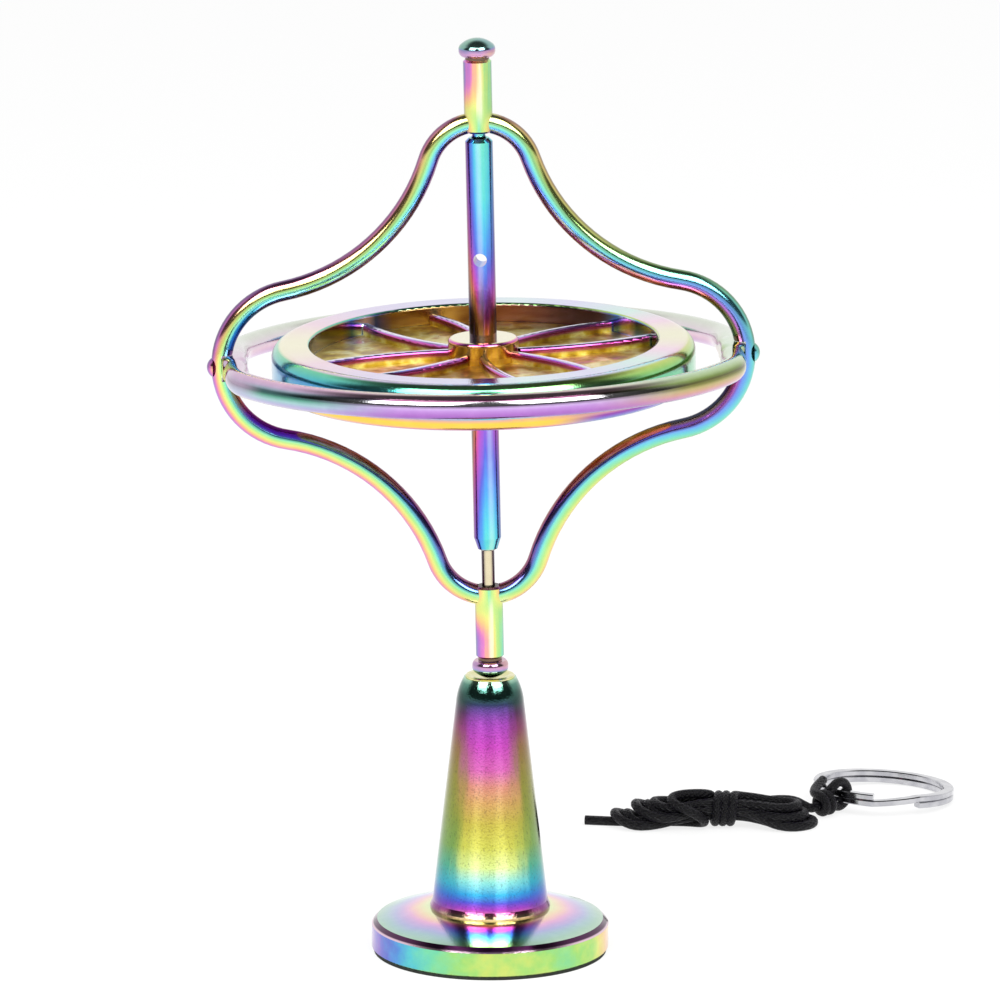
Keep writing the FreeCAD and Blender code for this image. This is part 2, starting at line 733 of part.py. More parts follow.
def make_bush(name, way):
    """Collared bearing bush pressed flush into the inner end of a post."""
    collar_end, end = POST_INNER + S["bush_flange"], POST_INNER + S["bush_length"]
    ease = S["bush_edge"]
    body = new_body(name)
    turn_round(body, name + "_turned", mirror_heights([
        (PIN_BORE, POST_INNER),
        (COLLAR_RADIUS - ease, POST_INNER),
        (COLLAR_RADIUS, POST_INNER + ease),
        (COLLAR_RADIUS, collar_end),
        (BUSH_RADIUS, collar_end),
        (BUSH_RADIUS, end),
        (PIN_BORE, end),
    ], way))
    place_on_gyro(body)


# ---------------------------------------------------------------- rotor


def make_shaft():
    """Stepped shaft with a pivot pin at each end and a hole for the cord."""
    chamfer, r, pin = S["shaft_chamfer"], S["shaft_radius"], S["pin_radius"]
    flare, point = S["pin_flare"], S["pin_point"]
    tip = SHANK_END + S["centre_hollow"] - S["pivot_slack"]
    top = CENTRE + POST_INNER - S["upper_gap"]
    low = CENTRE - POST_INNER + S["lower_gap"]
    body = new_body("rotor_shaft")
    turn_round(body, "shaft", [
        (0, CENTRE - tip),
        (pin, CENTRE - tip + point),
        (pin, low - flare),
        (pin + flare, low, flare, 1),
        (r - chamfer, low),
        (r, low + S["shaft_taper"]),
        (r, top - chamfer),
        (r - chamfer, top),
        (pin + flare, top),
        (pin, top + flare, flare, 1),
        (pin, CENTRE + tip - point),
        (0, CENTRE + tip),
    ])

    def hole(sketch):
        height = CENTRE + S["string_hole_height"]
        draw_circle(sketch, term(0), height, S["string_hole_radius"])

    pocket_through(body, "string_hole", "XZ_Plane", hole)
    place_on_gyro(body, turn="Sizes.string_hole_turn")


def make_flywheel():
    """Heavy rim, thin web and hub, with curved ribs in pairs on both faces."""
    top = CENTRE + S["rim_top"]
    low = top - S["rim_height"]
    half_web = S["web_thickness"] / 2
    middle = top - S["rim_height"] / 2
    outer, edge = S["rotor_radius"], S["rim_round"]
    inner, ease = outer - S["rim_width"], S["rim_inner_round"]
    hub, hub_edge = S["hub_radius"], S["hub_round"]
    hub_top, hub_low = top + S["hub_rise"], low - S["hub_rise"]
    body = new_body("flywheel")
    turn_round(body, "wheel", [
        (S["shaft_radius"], hub_low),
        (hub - hub_edge, hub_low),
        (hub, hub_low + hub_edge, hub_edge, -1),
        (hub, middle - half_web),
        (inner, middle - half_web),
        (inner, low + ease),
        (inner + ease, low, ease, -1),
        (outer - edge, low),
        (outer, low + edge, edge, -1),
        (outer, top - edge),
        (outer - edge, top, edge, -1),
        (inner + ease, top),
        (inner, top - ease, ease, -1),
        (inner, middle + half_web),
        (hub, middle + half_web),
        (hub, hub_top - hub_edge),
        (hub - hub_edge, hub_top, hub_edge, -1),
        (S["shaft_radius"], hub_top),
    ])
    root_x = hub - S["rib_sink"]
    end_x = inner + S["rib_sink"]
    ribs = []
    for side in (1, -1):
        tag = "left" if side > 0 else "right"
        sketch = new_sketch(body, "rib_outline_" + tag, "XY_Plane")
        bind(sketch, "AttachmentOffset.Base.z", middle)
        half, bow = S["rib_thickness"] / 2, S["rib_bow"]
        draw(sketch, [
            (root_x, side * (S["rib_root_gap"] - half)),
            (end_x, side * (S["rib_end_gap"] - half), bow - half, side),
            (end_x, side * (S["rib_end_gap"] + half)),
            (root_x, side * (S["rib_root_gap"] + half), bow + half, -side),
        ])
        doc.recompute()
        pad = body.newObject("PartDesign::Pad", "rib_" + tag)
        pad.Profile = sketch
        pad.SideType = "Symmetric"
        bind(pad, "Length", S["rim_height"] - 2 * S["rib_drop"])
        doc.recompute()
        ribs.append(pad)
    pattern = body.newObject("PartDesign::PolarPattern", "rib_pattern")
    pattern.Originals = ribs
    pattern.Axis = (plane(body, "Z_Axis"), [""])
    pattern.Angle = 360
    bind(pattern, "Occurrences", S["rib_pairs"])
    body.Tip = pattern
    doc.recompute()
    crest = (S["rim_height"] / 2 - S["rib_drop"]).number
    crests = [
        f"Edge{i}" for i, edge in enumerate(pattern.Shape.Edges, start=1)
        if all(abs(abs(v.Z - middle.number) - crest) < 1e-4 for v in edge.Vertexes)
        and edge.Length > S["hub_radius"].number
    ]
    rounded = body.newObject("PartDesign::Fillet", "rib_crests")
    rounded.Base = (pattern, crests)
    bind(rounded, "Radius", S["rib_round"])
    doc.recompute()
    place_on_gyro(body, turn="Sizes.rib_turn")


# ---------------------------------------------------------------- pull cord


def floor_point(angle, reach):
    """A place on the floor, by its direction and distance from the ring's middle."""
    bearing = math.radians(S["knot_bearing"].number + angle)
    return FreeCAD.Vector(
        S["split_ring_across"].number + reach * math.cos(bearing),
        S["split_ring_behind"].number + reach * math.sin(bearing),
        0,
    )


RING_LIFT = 2 * S["cord_radius"] + S["knot_gap"]


def ring_tilt():
    """Degrees that the ring is tipped up by the cord looped under it."""
    return math.degrees(math.asin(RING_LIFT.number / (2 * S["split_ring_radius"].number)))


def make_split_ring():
    """One flat wire wound twice, with a ramp from the lower turn to the upper."""
    band, wire = S["split_ring_band"], S["split_ring_wire"]
    outer, step = S["split_ring_radius"], S["split_ring_wire"] + S["split_ring_gap"]
    ease, ramp = S["split_ring_edge"], S["split_ring_ramp"].number
    body = new_body("split_ring")

    def section(name, low):
        sketch = new_sketch(body, name, "XZ_Plane")
        draw(sketch, [
            (outer - band, low + ease),
            (outer - band + ease, low),
            (outer - ease, low),
            (outer, low + ease),
            (outer, low + wire - ease),
            (outer - ease, low + wire),
            (outer - band + ease, low + wire),
            (outer - band, low + wire - ease),
        ])
        doc.recompute()
        return sketch

    for name, low in (("lower_turn", term(0)), ("upper_turn", step)):
        sketch = section(name + "_section", low)
        turn = body.newObject("PartDesign::Revolution", name)
        turn.Profile = sketch
        turn.ReferenceAxis = (sketch, ["V_Axis"])
        turn.Angle = 360 - ramp
        turn.Reversed = True
        doc.recompute()
    sketch = section("ramp_section", term(0))
    coil = body.newObject("PartDesign::AdditiveHelix", "ramp")
    coil.Profile = sketch
    coil.ReferenceAxis = (sketch, ["V_Axis"])
    coil.Mode = 2
    bind(coil, "Height", step)
    coil.Turns = ramp / 360
    doc.recompute()
    away = math.radians(S["knot_bearing"].number)
    hinge = FreeCAD.Vector(math.sin(away), -math.cos(away), 0)
    centre = floor_point(0, 0)
    centre.z = RING_LIFT.number / 2
    tipped = FreeCAD.Rotation(hinge, ring_tilt())
    turned = FreeCAD.Rotation(FreeCAD.Vector(0, 0, 1), S["split_ring_turn"].number)
    body.Placement = FreeCAD.Placement(centre, tipped * turned)


def make_hank():
    """Outer shape of the folded and wrapped cord."""
    left, right = S["hank_left"], S["hank_right"]
    half, waist = S["hank_width"] / 2, S["waist_width"] / 2
    wrap_start = S["wrap_middle"] - S["wrap_length"] / 2
    wrap_end = S["wrap_middle"] + S["wrap_length"] / 2
    across = S["cord_behind"]
    body = new_body("cord_hank")
    sketch = new_sketch(body, "hank_outline", "XY_Plane")
    far, near = across + half, across - half
    taper, end, face = S["hank_taper"], S["hank_end"], S["lead_face"]
    along, over = S["fold_along"], S["fold_across"]
    exit_x, exit_y = right - S["lead_along"], far - S["lead_across"]
    draw(sketch, [
        (left, across + end),
        (left + along, far - over),
        (left + taper, far),
        (wrap_start, across + waist),
        (wrap_end, across + waist),
        (right - taper, far),
        (exit_x - face, exit_y + face),
        (exit_x + face, exit_y - face),
        (right, across - end / 2),
        (right - along, near + over),
        (right - taper, near),
        (wrap_end, across - waist),
        (wrap_start, across - waist),
        (left + taper, near),
        (left + along, near + over),
        (left, across - end),
    ])
    doc.recompute()
    pad = body.newObject("PartDesign::Pad", "hank_pad")
    pad.Profile = sketch
    bind(pad, "Length", S["hank_height"])
    doc.recompute()
    rims = [
        f"Edge{i}" for i, edge in enumerate(pad.Shape.Edges, start=1)
        if min(v.Z for v in edge.Vertexes) > S["hank_height"].number - 1e-6
    ]
    bevel = body.newObject("PartDesign::Chamfer", "hank_bevel")
    bevel.Base = (pad, rims)
    bind(bevel, "Size", S["cord_radius"])
    doc.recompute()
    sketch = new_sketch(body, "wrap_outline", "XY_Plane")
    draw(sketch, [
        (wrap_start, across - S["wrap_width"] / 2),
        (wrap_end, across - S["wrap_width"] / 2),
        (wrap_end, across + S["wrap_width"] / 2),
        (wrap_start, across + S["wrap_width"] / 2),
    ])
    doc.recompute()
    pad = body.newObject("PartDesign::Pad", "wrap_pad")
    pad.Profile = sketch
    bind(pad, "Length", S["wrap_height"])
    doc.recompute()
    bight, r = across - S["bight_middle"], S["cord_radius"]
    bight_near, bight_far = bight - S["bight_width"] / 2, bight + S["bight_width"] / 2
    sketch = new_sketch(body, "bight_outline", "XY_Plane")
    draw(sketch, [
        (S["bight_left"], bight_near + r),
        (S["bight_left"] + r, bight_near),
        (wrap_start, bight_near),
        (wrap_start, bight_far),
        (S["bight_left"] + r, bight_far),
        (S["bight_left"], bight_far - r),
    ])
    doc.recompute()
    pad = body.newObject("PartDesign::Pad", "bight_pad")
    pad.Profile = sketch
    bind(pad, "Length", S["wrap_height"])


BEND_SHARE = 0.45


def tube(name, points):
    """A cord along straight runs joined by tangent arcs, each of which takes
    the same share of the runs beside it."""
    radius = S["cord_radius"].number
    vectors = [FreeCAD.Vector(*p) for p in points]
    edges, start = [], vectors[0]
    for before, corner, after in zip(vectors, vectors[1:], vectors[2:]):
        back, ahead = before - corner, after - corner
        turn = math.pi - back.getAngle(ahead)
        cut = BEND_SHARE * min(back.Length, ahead.Length)
        bend = cut / math.tan(turn / 2)
        back.normalize()
        ahead.normalize()
        inward = (back + ahead).normalize()
        first, last = corner + back * cut, corner + ahead * cut
        middle = corner + inward * (bend / math.cos(turn / 2) - bend)
        edges += [Part.LineSegment(start, first).toShape()]
        edges += [Part.Arc(first, middle, last).toShape()]
        print(f"{name}: bend {bend:.1f} mm")
        start = last
    edges.append(Part.LineSegment(start, vectors[-1]).toShape())
    path = Part.Wire(edges)
    disc = Part.Wire(Part.Circle(vectors[0], vectors[1] - vectors[0], radius).toShape())
    solid = path.makePipeShell([disc], True, False)
    share = solid.Volume / (math.pi * radius**2 * path.Length)
    print(f"{name}: {path.Length:.1f} mm, {share:.4f} of its volume")
    feature = doc.addObject("Part::Feature", name)
    feature.Label = name
    feature.Shape = solid
    PARTS.append(feature)


def make_cord_ends():
    """The cord's bare end at the left and its lead from the hank to the knot."""
    r, y = S["cord_radius"].number, S["cord_behind"].number
    left, right = S["hank_left"].number, S["hank_right"].number
    far = y + S["hank_width"].number / 2
    tail, drift = y + S["tail_offset"].number, S["tail_drift"].number
    tube("cord_tail", [
        (left, tail, r),
        (left - S["tail_straight"].number, tail, r),
        (left - S["tail_reach"].number, tail + drift, r),
    ])
    knot_face = floor_point(0, knot_reach() + S["knot_length"].number / 2)
    height = S["knot_radius"].number
    start = (right - S["lead_along"].number, far - S["lead_across"].number, height)
    tube("cord_lead", [start, (knot_face.x, knot_face.y, height)])


def knot_reach():
    """Distance from the middle of the split ring to the middle of the knot."""
    gap, half = S["knot_gap"].number, S["knot_length"].number / 2
    return S["split_ring_radius"].number + gap + half


def make_ring_knot():
    """The knot and the loop of cord that goes round the split ring."""
    bearing = S["knot_bearing"]
    centre = floor_point(0, knot_reach())
    ball = primitive("Sphere", "knot_ball", Radius=S["knot_radius"])
    sides = primitive(
        "Box", "knot_faces", Length=S["knot_length"],
        Width=4 * S["knot_radius"], Height=4 * S["knot_radius"],
    )
    bind(sides, "Placement.Base.x", -S["knot_length"] / 2)
    bind(sides, "Placement.Base.y", -2 * S["knot_radius"])
    bind(sides, "Placement.Base.z", -2 * S["knot_radius"])
    knot = combine("Common", "knot", ball, sides)
    spin = FreeCAD.Rotation(FreeCAD.Vector(0, 0, 1), bearing.number)
    centre.z = S["knot_radius"].number
    knot.Placement = FreeCAD.Placement(centre, spin)
    band = S["split_ring_radius"].number - S["split_ring_band"].number / 2
    tall = 2 * S["split_ring_wire"].number + S["split_ring_gap"].number
    tilt = math.radians(ring_tilt())
    middle = floor_point(0, band * math.cos(tilt) - tall / 2 * math.sin(tilt))
    middle.z = RING_LIFT.number / 2 + band * math.sin(tilt) + tall / 2 * math.cos(tilt)
    corner = math.hypot(S["split_ring_band"].number, tall) / 2
    loop = primitive(
        "Torus", "knot_loop", Radius2=S["cord_radius"],
        Radius1=corner + S["cord_radius"].number + S["loop_gap"].number,
    )
    upright = FreeCAD.Rotation(FreeCAD.Vector(1, 0, 0), 90)
    loop.Placement = FreeCAD.Placement(middle, spin * upright)
    both = combine("Fuse", "ring_knot", knot, loop)
    both.Label = "ring_knot"
    PARTS.append(both)


def check_and_export():
    """Recompute, refuse anything that failed and write one file for each sub-part."""
    doc.recompute()
    failed = [t.Label for t in doc.Objects if {"Invalid", "Error"} & set(t.State)]
    if failed:
        raise RuntimeError(f"these failed: {failed}")
    os.makedirs("parts", exist_ok=True)
    for part in PARTS:
        shape = part.Shape
        if shape.isNull() or not shape.isValid():
            raise RuntimeError(f"{part.Label} has no valid shape")
        shape.exportStep(os.path.join("parts", part.Label + ".step"))
        print(f"{part.Label}: {len(shape.Solids)} solid(s), {shape.Volume:.2f} mm3")


make_base_pad()
make_base_disc()
make_stand_screw()
make_stand_cone()
make_cup()
make_knob("top_knob", 1)
make_knob("foot_knob", -1)
make_cage_loop()
make_equator_ring()
make_rivets()
make_bush("upper_bush", 1)
make_bush("lower_bush", -1)
make_shaft()
make_flywheel()
make_split_ring()
make_hank()
make_cord_ends()
make_ring_knot()
check_and_export()
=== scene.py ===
# %% [markdown]
# # A rainbow gyroscope on its stand
# A small metal gyroscope stands in a cup on top of a cone. A black pull cord lies
# behind it, folded up, with its split ring. The CAD model holds every metal piece at
# its real size, so this lesson gives those pieces their finish, bends one wire anew
# and makes the cord. The first step loads the CAD model, which is never moved.
# Everything else is worked out from it, in metres.

# %% Load the model
import json
import math
from collections import namedtuple

import bpy
from mathutils import Euler, Matrix, Vector

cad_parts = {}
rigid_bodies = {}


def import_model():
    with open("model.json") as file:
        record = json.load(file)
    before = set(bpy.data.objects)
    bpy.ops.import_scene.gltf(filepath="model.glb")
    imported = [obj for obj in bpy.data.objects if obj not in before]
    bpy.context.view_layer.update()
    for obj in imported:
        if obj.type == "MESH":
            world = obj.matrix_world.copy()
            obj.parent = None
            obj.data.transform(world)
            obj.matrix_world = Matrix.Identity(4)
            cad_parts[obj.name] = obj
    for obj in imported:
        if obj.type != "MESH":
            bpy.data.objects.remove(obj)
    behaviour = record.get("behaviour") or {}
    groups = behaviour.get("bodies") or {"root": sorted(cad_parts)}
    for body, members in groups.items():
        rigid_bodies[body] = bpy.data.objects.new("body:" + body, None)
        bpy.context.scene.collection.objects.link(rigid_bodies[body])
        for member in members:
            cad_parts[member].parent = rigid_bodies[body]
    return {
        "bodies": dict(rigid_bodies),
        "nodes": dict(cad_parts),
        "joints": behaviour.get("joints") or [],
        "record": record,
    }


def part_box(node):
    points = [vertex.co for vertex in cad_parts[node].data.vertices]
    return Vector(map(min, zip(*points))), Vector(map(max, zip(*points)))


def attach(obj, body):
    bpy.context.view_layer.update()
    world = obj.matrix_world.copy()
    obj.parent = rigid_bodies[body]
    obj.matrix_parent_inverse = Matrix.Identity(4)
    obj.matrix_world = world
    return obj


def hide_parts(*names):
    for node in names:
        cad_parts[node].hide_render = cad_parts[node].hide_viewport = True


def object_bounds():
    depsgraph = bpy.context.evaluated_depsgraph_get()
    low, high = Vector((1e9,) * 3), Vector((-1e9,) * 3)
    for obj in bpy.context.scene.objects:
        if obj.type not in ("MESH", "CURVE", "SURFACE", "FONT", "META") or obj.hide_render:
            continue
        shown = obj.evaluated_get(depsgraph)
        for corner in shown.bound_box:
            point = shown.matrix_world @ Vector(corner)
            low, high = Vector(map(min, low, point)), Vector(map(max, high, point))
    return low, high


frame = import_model()
cad_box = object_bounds()
NODES = frame["nodes"]
JOINTS = {joint["name"]: joint for joint in frame["joints"]}
MM = 0.001
bpy.ops.object.select_all(action="DESELECT")
print("pieces:", len(NODES), "size in mm:", [round((b - a) / MM, 1) for a, b in zip(*cad_box)])

# %% [markdown]
# ## Camera
# A product picture is taken from far off with a long lens, so that upright edges stay
# upright. The camera looks along +Y and dips a little, which shows the top of the
# stand's disc and the inside of the flywheel.

# %% Camera
CAMERA_PLACE = (0.0012, -1.2, 0.339)
CAMERA_DIP = 13.273
CAMERA_LENS = 369.5

camera_data = bpy.data.cameras.new("camera")
camera_data.lens = CAMERA_LENS
camera = bpy.data.objects.new("camera", camera_data)
bpy.context.scene.collection.objects.link(camera)
camera.location = CAMERA_PLACE
camera.rotation_euler = (math.radians(90 - CAMERA_DIP), 0, 0)
bpy.context.scene.camera = camera
bpy.context.scene.view_settings.view_transform = "Standard"
print("camera at", CAMERA_PLACE, "with a lens of", CAMERA_LENS, "mm")

# %% [markdown]
# ## Sums on shader sockets
# A finish is a little sum: mix this colour where the surface faces up, darken that
# edge. Nodes can be wired by hand, but a long sum is easier to read as Python. This
# class wraps one socket and overloads the usual signs, so that `1 - mask` adds its
# own Math node. Every other node comes from one method, `node`.

# %% A socket that can be used in sums


class Socket:
    """One output of a shader node."""

    def __init__(self, finish, plug):
        self.finish, self.plug = finish, plug

    def maths(self, operation, *values):
        """Any sum that has no sign of its own in Python."""
        return self.finish.node("ShaderNodeMath", values, operation=operation)

    def __add__(self, other):
        return self.maths("ADD", self, other)

    def __sub__(self, other):
        return self.maths("SUBTRACT", self, other)

    def __rsub__(self, other):
        return self.maths("SUBTRACT", other, self)

    def __mul__(self, other):
        return self.maths("MULTIPLY", self, other)

    def __truediv__(self, other):
        return self.maths("DIVIDE", self, other)

    def __neg__(self):
        return self * -1

    def __abs__(self):
        return self.maths("ABSOLUTE", self)

    __radd__ = __add__
    __rmul__ = __mul__

    def step(self, low, high):
        """0 below low and 1 above high, and smooth between."""
        return self.finish.node(
            "ShaderNodeMapRange",
            {"Value": self, "From Min": low, "From Max": high},
            interpolation_type="SMOOTHSTEP",
        )


# %% Colours


def paint(text):
    """A colour written as rrggbb, made linear for the renderer."""
    def linear(byte):
        share = byte / 255
        return share / 12.92 if share <= 0.04045 else ((share + 0.055) / 1.055) ** 2.4

    return (*(linear(int(text[i:i + 2], 16)) for i in (0, 2, 4)), 1.0)


def as_colour(value):
    """A colour from its text or from a number, which stands for a grey."""
    if isinstance(value, str):
        return paint(value)
    return (value, value, value, 1.0) if isinstance(value, float) else value


# %% A node tree that is built up from sockets


class Finish:
    """The nodes of one material."""

    def __init__(self, tree):
        self.tree = tree
        tree.nodes.clear()

    def node(self, kind, inputs=(), output=0, stops=None, **settings):
        """Add a node. Its settings come first, then the values or links of its sockets."""
        made = self.tree.nodes.new(kind)
        for name, value in settings.items():
            setattr(made, name, value)
        if stops:
            self.set_stops(made.color_ramp, stops)
        pairs = inputs.items() if isinstance(inputs, dict) else enumerate(inputs)
        for key, value in pairs:
            if isinstance(value, Socket):
                self.tree.links.new(value.plug, made.inputs[key])
            else:
                made.inputs[key].default_value = value
        return Socket(self, made.outputs[output]) if made.outputs else None

    def set_stops(self, ramp, stops):
        """Fill a colour ramp with stops, given as (place, colour)."""
        while len(ramp.elements) < len(stops):
            ramp.elements.new(0.5)
        for element, (place, colour) in zip(ramp.elements, stops):
            element.position = place
            element.color = as_colour(colour)

    def ramp(self, value, stops):
        """A colour from a number between 0 and 1."""
        return self.node("ShaderNodeValToRGB", {"Fac": value}, stops=stops)

    def mix(self, share, first, second, blend_type="MIX"):
        """The first colour where share is 0, the second where it is 1."""
        return self.node(
            "ShaderNodeMix",
            {0: share, 6: as_colour(first), 7: as_colour(second)},
            output=2, data_type="RGBA", blend_type=blend_type,
        )

    def stretch(self, place, factors):
        """A place with its three numbers multiplied, which draws a noise out along an axis."""
        return self.node("ShaderNodeVectorMath", [place, factors], operation="MULTIPLY")


# %% [markdown]
# ## Light
# Polished metal shows little but what is around it, so the studio is most of its
# look. A white table and backdrop give the pale zones, two tall softboxes stand to
# the left and right of the camera, and the rest of the room is dark. The dark room is
# what draws the thin dark lines along every wire.

# %% Studio: the room
ROOM_DARK = 0.06
BACKDROP_BEHIND = (-0.15, 0.25)
BACKDROP_TOP = (0.62, 0.9)
FLOOR_TOP = (0.1, 0.22)
SKY_FOR_MATT = 0.75

world = bpy.data.worlds.new("studio")
bpy.context.scene.world = world
world.use_nodes = True
room = Finish(world.node_tree)
way = room.node("ShaderNodeTexCoord", output="Generated")
away, up = (room.node("ShaderNodeSeparateXYZ", [way], output=axis) for axis in ("Y", "Z"))
floor = 1 - up.step(*FLOOR_TOP)
backdrop = away.step(*BACKDROP_BEHIND) * (1 - up.step(*BACKDROP_TOP))
pale = floor.maths("MAXIMUM", floor, backdrop)
glow = ROOM_DARK + pale * (1 - ROOM_DARK)
camera_ray, glossy_ray, clear_ray = (
    room.node("ShaderNodeLightPath", output=name)
    for name in ("Is Camera Ray", "Is Glossy Ray", "Is Transmission Ray")
)
seen = camera_ray.maths("MAXIMUM", camera_ray, clear_ray)
strength = seen + (1 - seen) * (glossy_ray * glow + (1 - glossy_ray) * SKY_FOR_MATT)
sky = room.node("ShaderNodeBackground", {"Color": (1, 1, 1, 1), "Strength": strength})
room.node("ShaderNodeOutputWorld", [sky])
print("room:", len(world.node_tree.nodes), "nodes")

# %% [markdown]
# The softboxes are area lamps, which have soft shadows and need no material. Each one
# faces the gyroscope's middle from beside the camera and high up, and the metal shows
# it as a tall white band.

# %% Studio: two softboxes
BOX_DISTANCE = 0.7
BOX_WIDE = 0.42
BOX_TALL = 0.5
BOX_RISE = 46
BOX_SIDE = 33
BOX_POWER = 4.2


def softbox(name, side):
    """A tall lamp that faces the gyroscope from beside the camera."""
    lamp = bpy.data.lights.new(name, "AREA")
    lamp.shape = "RECTANGLE"
    lamp.size, lamp.size_y = BOX_WIDE, BOX_TALL
    lamp.energy = BOX_POWER
    box = bpy.data.objects.new(name, lamp)
    bpy.context.scene.collection.objects.link(box)
    turn, rise = math.radians(side), math.radians(BOX_RISE)
    level = math.cos(rise)
    facing = Vector((math.sin(turn) * level, -math.cos(turn) * level, math.sin(rise)))
    target = Vector((0, 0, (cad_box[0][2] + cad_box[1][2]) / 2))
    box.location = target + facing * BOX_DISTANCE
    box.rotation_euler = facing.to_track_quat("Z", "Y").to_euler()
    print(name, "at", [round(v, 2) for v in box.location])


softbox("softbox_left", -BOX_SIDE)
softbox("softbox_right", BOX_SIDE)

# %% [markdown]
# The table is a wide white plane. Matt white alone goes grey where the lamps don't
# reach, and then it isn't the clean ground of a product picture. So a part of its white
# is a glow, which only the camera and mirror images see, and the shadows on it are
# faint and soft.

# %% Table
TABLE_SIZE = 6.0
TABLE_WHITE = 0.9
GLOW_SEEN = 0.8
GLOW_MIRRORED = 0.55

bpy.ops.mesh.primitive_plane_add(size=TABLE_SIZE)
table = bpy.context.object
table.name = "table"
table_paint = bpy.data.materials.new("white_table")
table_paint.use_nodes = True
white = Finish(table_paint.node_tree)
matt = white.node("ShaderNodeBsdfDiffuse", {"Color": as_colour(TABLE_WHITE)})
glowing = white.node("ShaderNodeEmission", {"Color": (1, 1, 1, 1), "Strength": 1.0})
looked_at = white.node("ShaderNodeLightPath", output="Is Camera Ray")
mirrored = white.node("ShaderNodeLightPath", output="Is Glossy Ray")
share = looked_at * GLOW_SEEN + mirrored * GLOW_MIRRORED
white.node("ShaderNodeOutputMaterial", [white.node("ShaderNodeMixShader", [share, matt, glowing])])
table.data.materials.append(table_paint)
print("table:", TABLE_SIZE, "m wide")

# %% [markdown]
# ## Pull cord
# The cord is about a third of a metre of thin black braid. It is knotted round the
# split ring, folded back and forth ten times and held by three turns round the
# middle. It could be a few separate tubes, but a real cord has no joins, so one smooth
# curve follows all of that. The folds and turns are worked out by loops, and only the
# few points where the cord is loose are listed, in millimetres.

# %% [markdown]
# Every pass of the hank starts in its waist, runs out along a leg, turns round a tip
# and comes back. The folds differ a little in width and reach, as they do when a cord
# is wound round two fingers, and each layer lies on the one below it.

# %% Cord: sizes of the folds
CORD = 1.2
CORD_LENGTH = 0.34
HANK_MIDDLE = 57.0
WAIST_HEIGHT = 2.35
WAIST_RIGHT = 31.6
WAIST_LEFT = 26.8
TIP_SHAPE = 1.3
LEG_SHARES = (0, 0.4, 0.75)
TIP_ANGLES = range(80, -81, -32)

# Each fold: half its width, the height of its sides, the height of its tip and its reach.
RIGHT_FOLDS = [(2.9, 0.6, 0.6, 41.1), (1.7, 0.6, 0.6, 39.6), (2.6, 1.7, 1.7, 39.9),
               (1.6, 1.7, 1.75, 38.3), (1.7, 2.8, 2.85, 39.0)]
LEFT_FOLDS = [(2.9, 1.7, 3.0, 18.2), (2.6, 0.6, 1.8, 15.6), (1.75, 0.6, 1.8, 17.2),
              (1.85, 1.75, 3.0, 19.8), (2.0, 2.8, 3.2, 20.6)]
# Where the cord goes through the middle of the hank: across it and up from its centre.
WAIST = [(1.05, 0), (-1.05, 0), (0.7, -0.75), (-0.7, -0.75), (0, -0.75), (-0.35, 0),
         (0.35, 0), (0, 0.75), (0.7, 0.75), (-0.7, 0.75), (1.0, 1.35)]

# %% Cord: the folds


def ease(share):
    """From 0 to 1 with a soft start and a soft end."""
    return share * share * (3 - 2 * share)


def leg(shape, inward, near, waist):
    """From the waist out to where the fold is widest."""
    half, height, _, reach = shape
    across, rise, leftward = waist
    far = reach + inward * TIP_SHAPE * half
    side = half if leftward else -half
    return [(
        near + (far - near) * share,
        HANK_MIDDLE + across + (side - across) * ease(share),
        WAIST_HEIGHT + rise + (height - WAIST_HEIGHT - rise) * ease(share),
    ) for share in LEG_SHARES]


def tip(shape, inward, side):
    """Round the end of a fold."""
    half, height, top, reach = shape
    return [(
        reach + inward * TIP_SHAPE * half * (1 - math.cos(turn)),
        HANK_MIDDLE + side * half * math.sin(turn),
        height + (top - height) * math.cos(turn) ** 2,
    ) for turn in map(math.radians, TIP_ANGLES)]


def hank_points():
    """Five turns, each from the right through the waist, round the left and back."""
    points = []
    for number, (start, end) in enumerate(zip(WAIST, WAIST[1:])):
        left = number % 2 == 0
        shape = (LEFT_FOLDS if left else RIGHT_FOLDS)[number // 2]
        near, inward = (WAIST_LEFT, 1) if left else (WAIST_RIGHT, -1)
        out = leg(shape, inward, near, (*start, left))
        back = leg(shape, inward, near, (*end, not left))
        points += out + tip(shape, inward, 1 if left else -1) + back[::-1]
    return points


# %% [markdown]
# The wrap is a helix with a flattened section, because it is pulled tight over folds
# that lie side by side. A sine and a cosine with different reaches make it.

# %% Cord: the wrap
WRAP_START = 30.8
WRAP_END = 28.0
WRAP_ANGLES = (90, 1140)
WRAP_HALF = (1.95, 1.75)
TURN_STEP = 30


def wrap_points():
    """The turns that hold the hank together."""
    wide, tall = WRAP_HALF
    first, last = WRAP_ANGLES
    points = []
    for angle in range(first, last + 1, TURN_STEP):
        turn = math.radians(angle)
        along = WRAP_START + (WRAP_END - WRAP_START) * (angle - first) / (last - first)
        points.append((
            along, HANK_MIDDLE + wide * math.cos(turn), tall + CORD / 2 + tall * math.sin(turn),
        ))
    return points


# %% [markdown]
# The knot is a helix too, round the cord's own standing part, and its loop goes once
# round the wire of the split ring. Both are easiest to place from the middle of that
# ring, with the way to the knot as the forward direction.

# %% Cord: the knot
RING_MIDDLE = Vector((50.2, 69.7, 0))
RING_RADIUS = 9.0
KNOT_BEARING = 225
KNOT_OUT = 12.0
KNOT_LONG = 2.1
KNOT_ANGLES = (90, -600)
KNOT_REACH = 1.15
KNOT_HEIGHT = 1.78
LOOP_ANGLES = range(40, 321, 35)
LOOP_REACH = 1.66
LOOP_HEIGHT = 2.42
LOOP_INWARD = 0.68
LOOP_ACROSS = 0.1

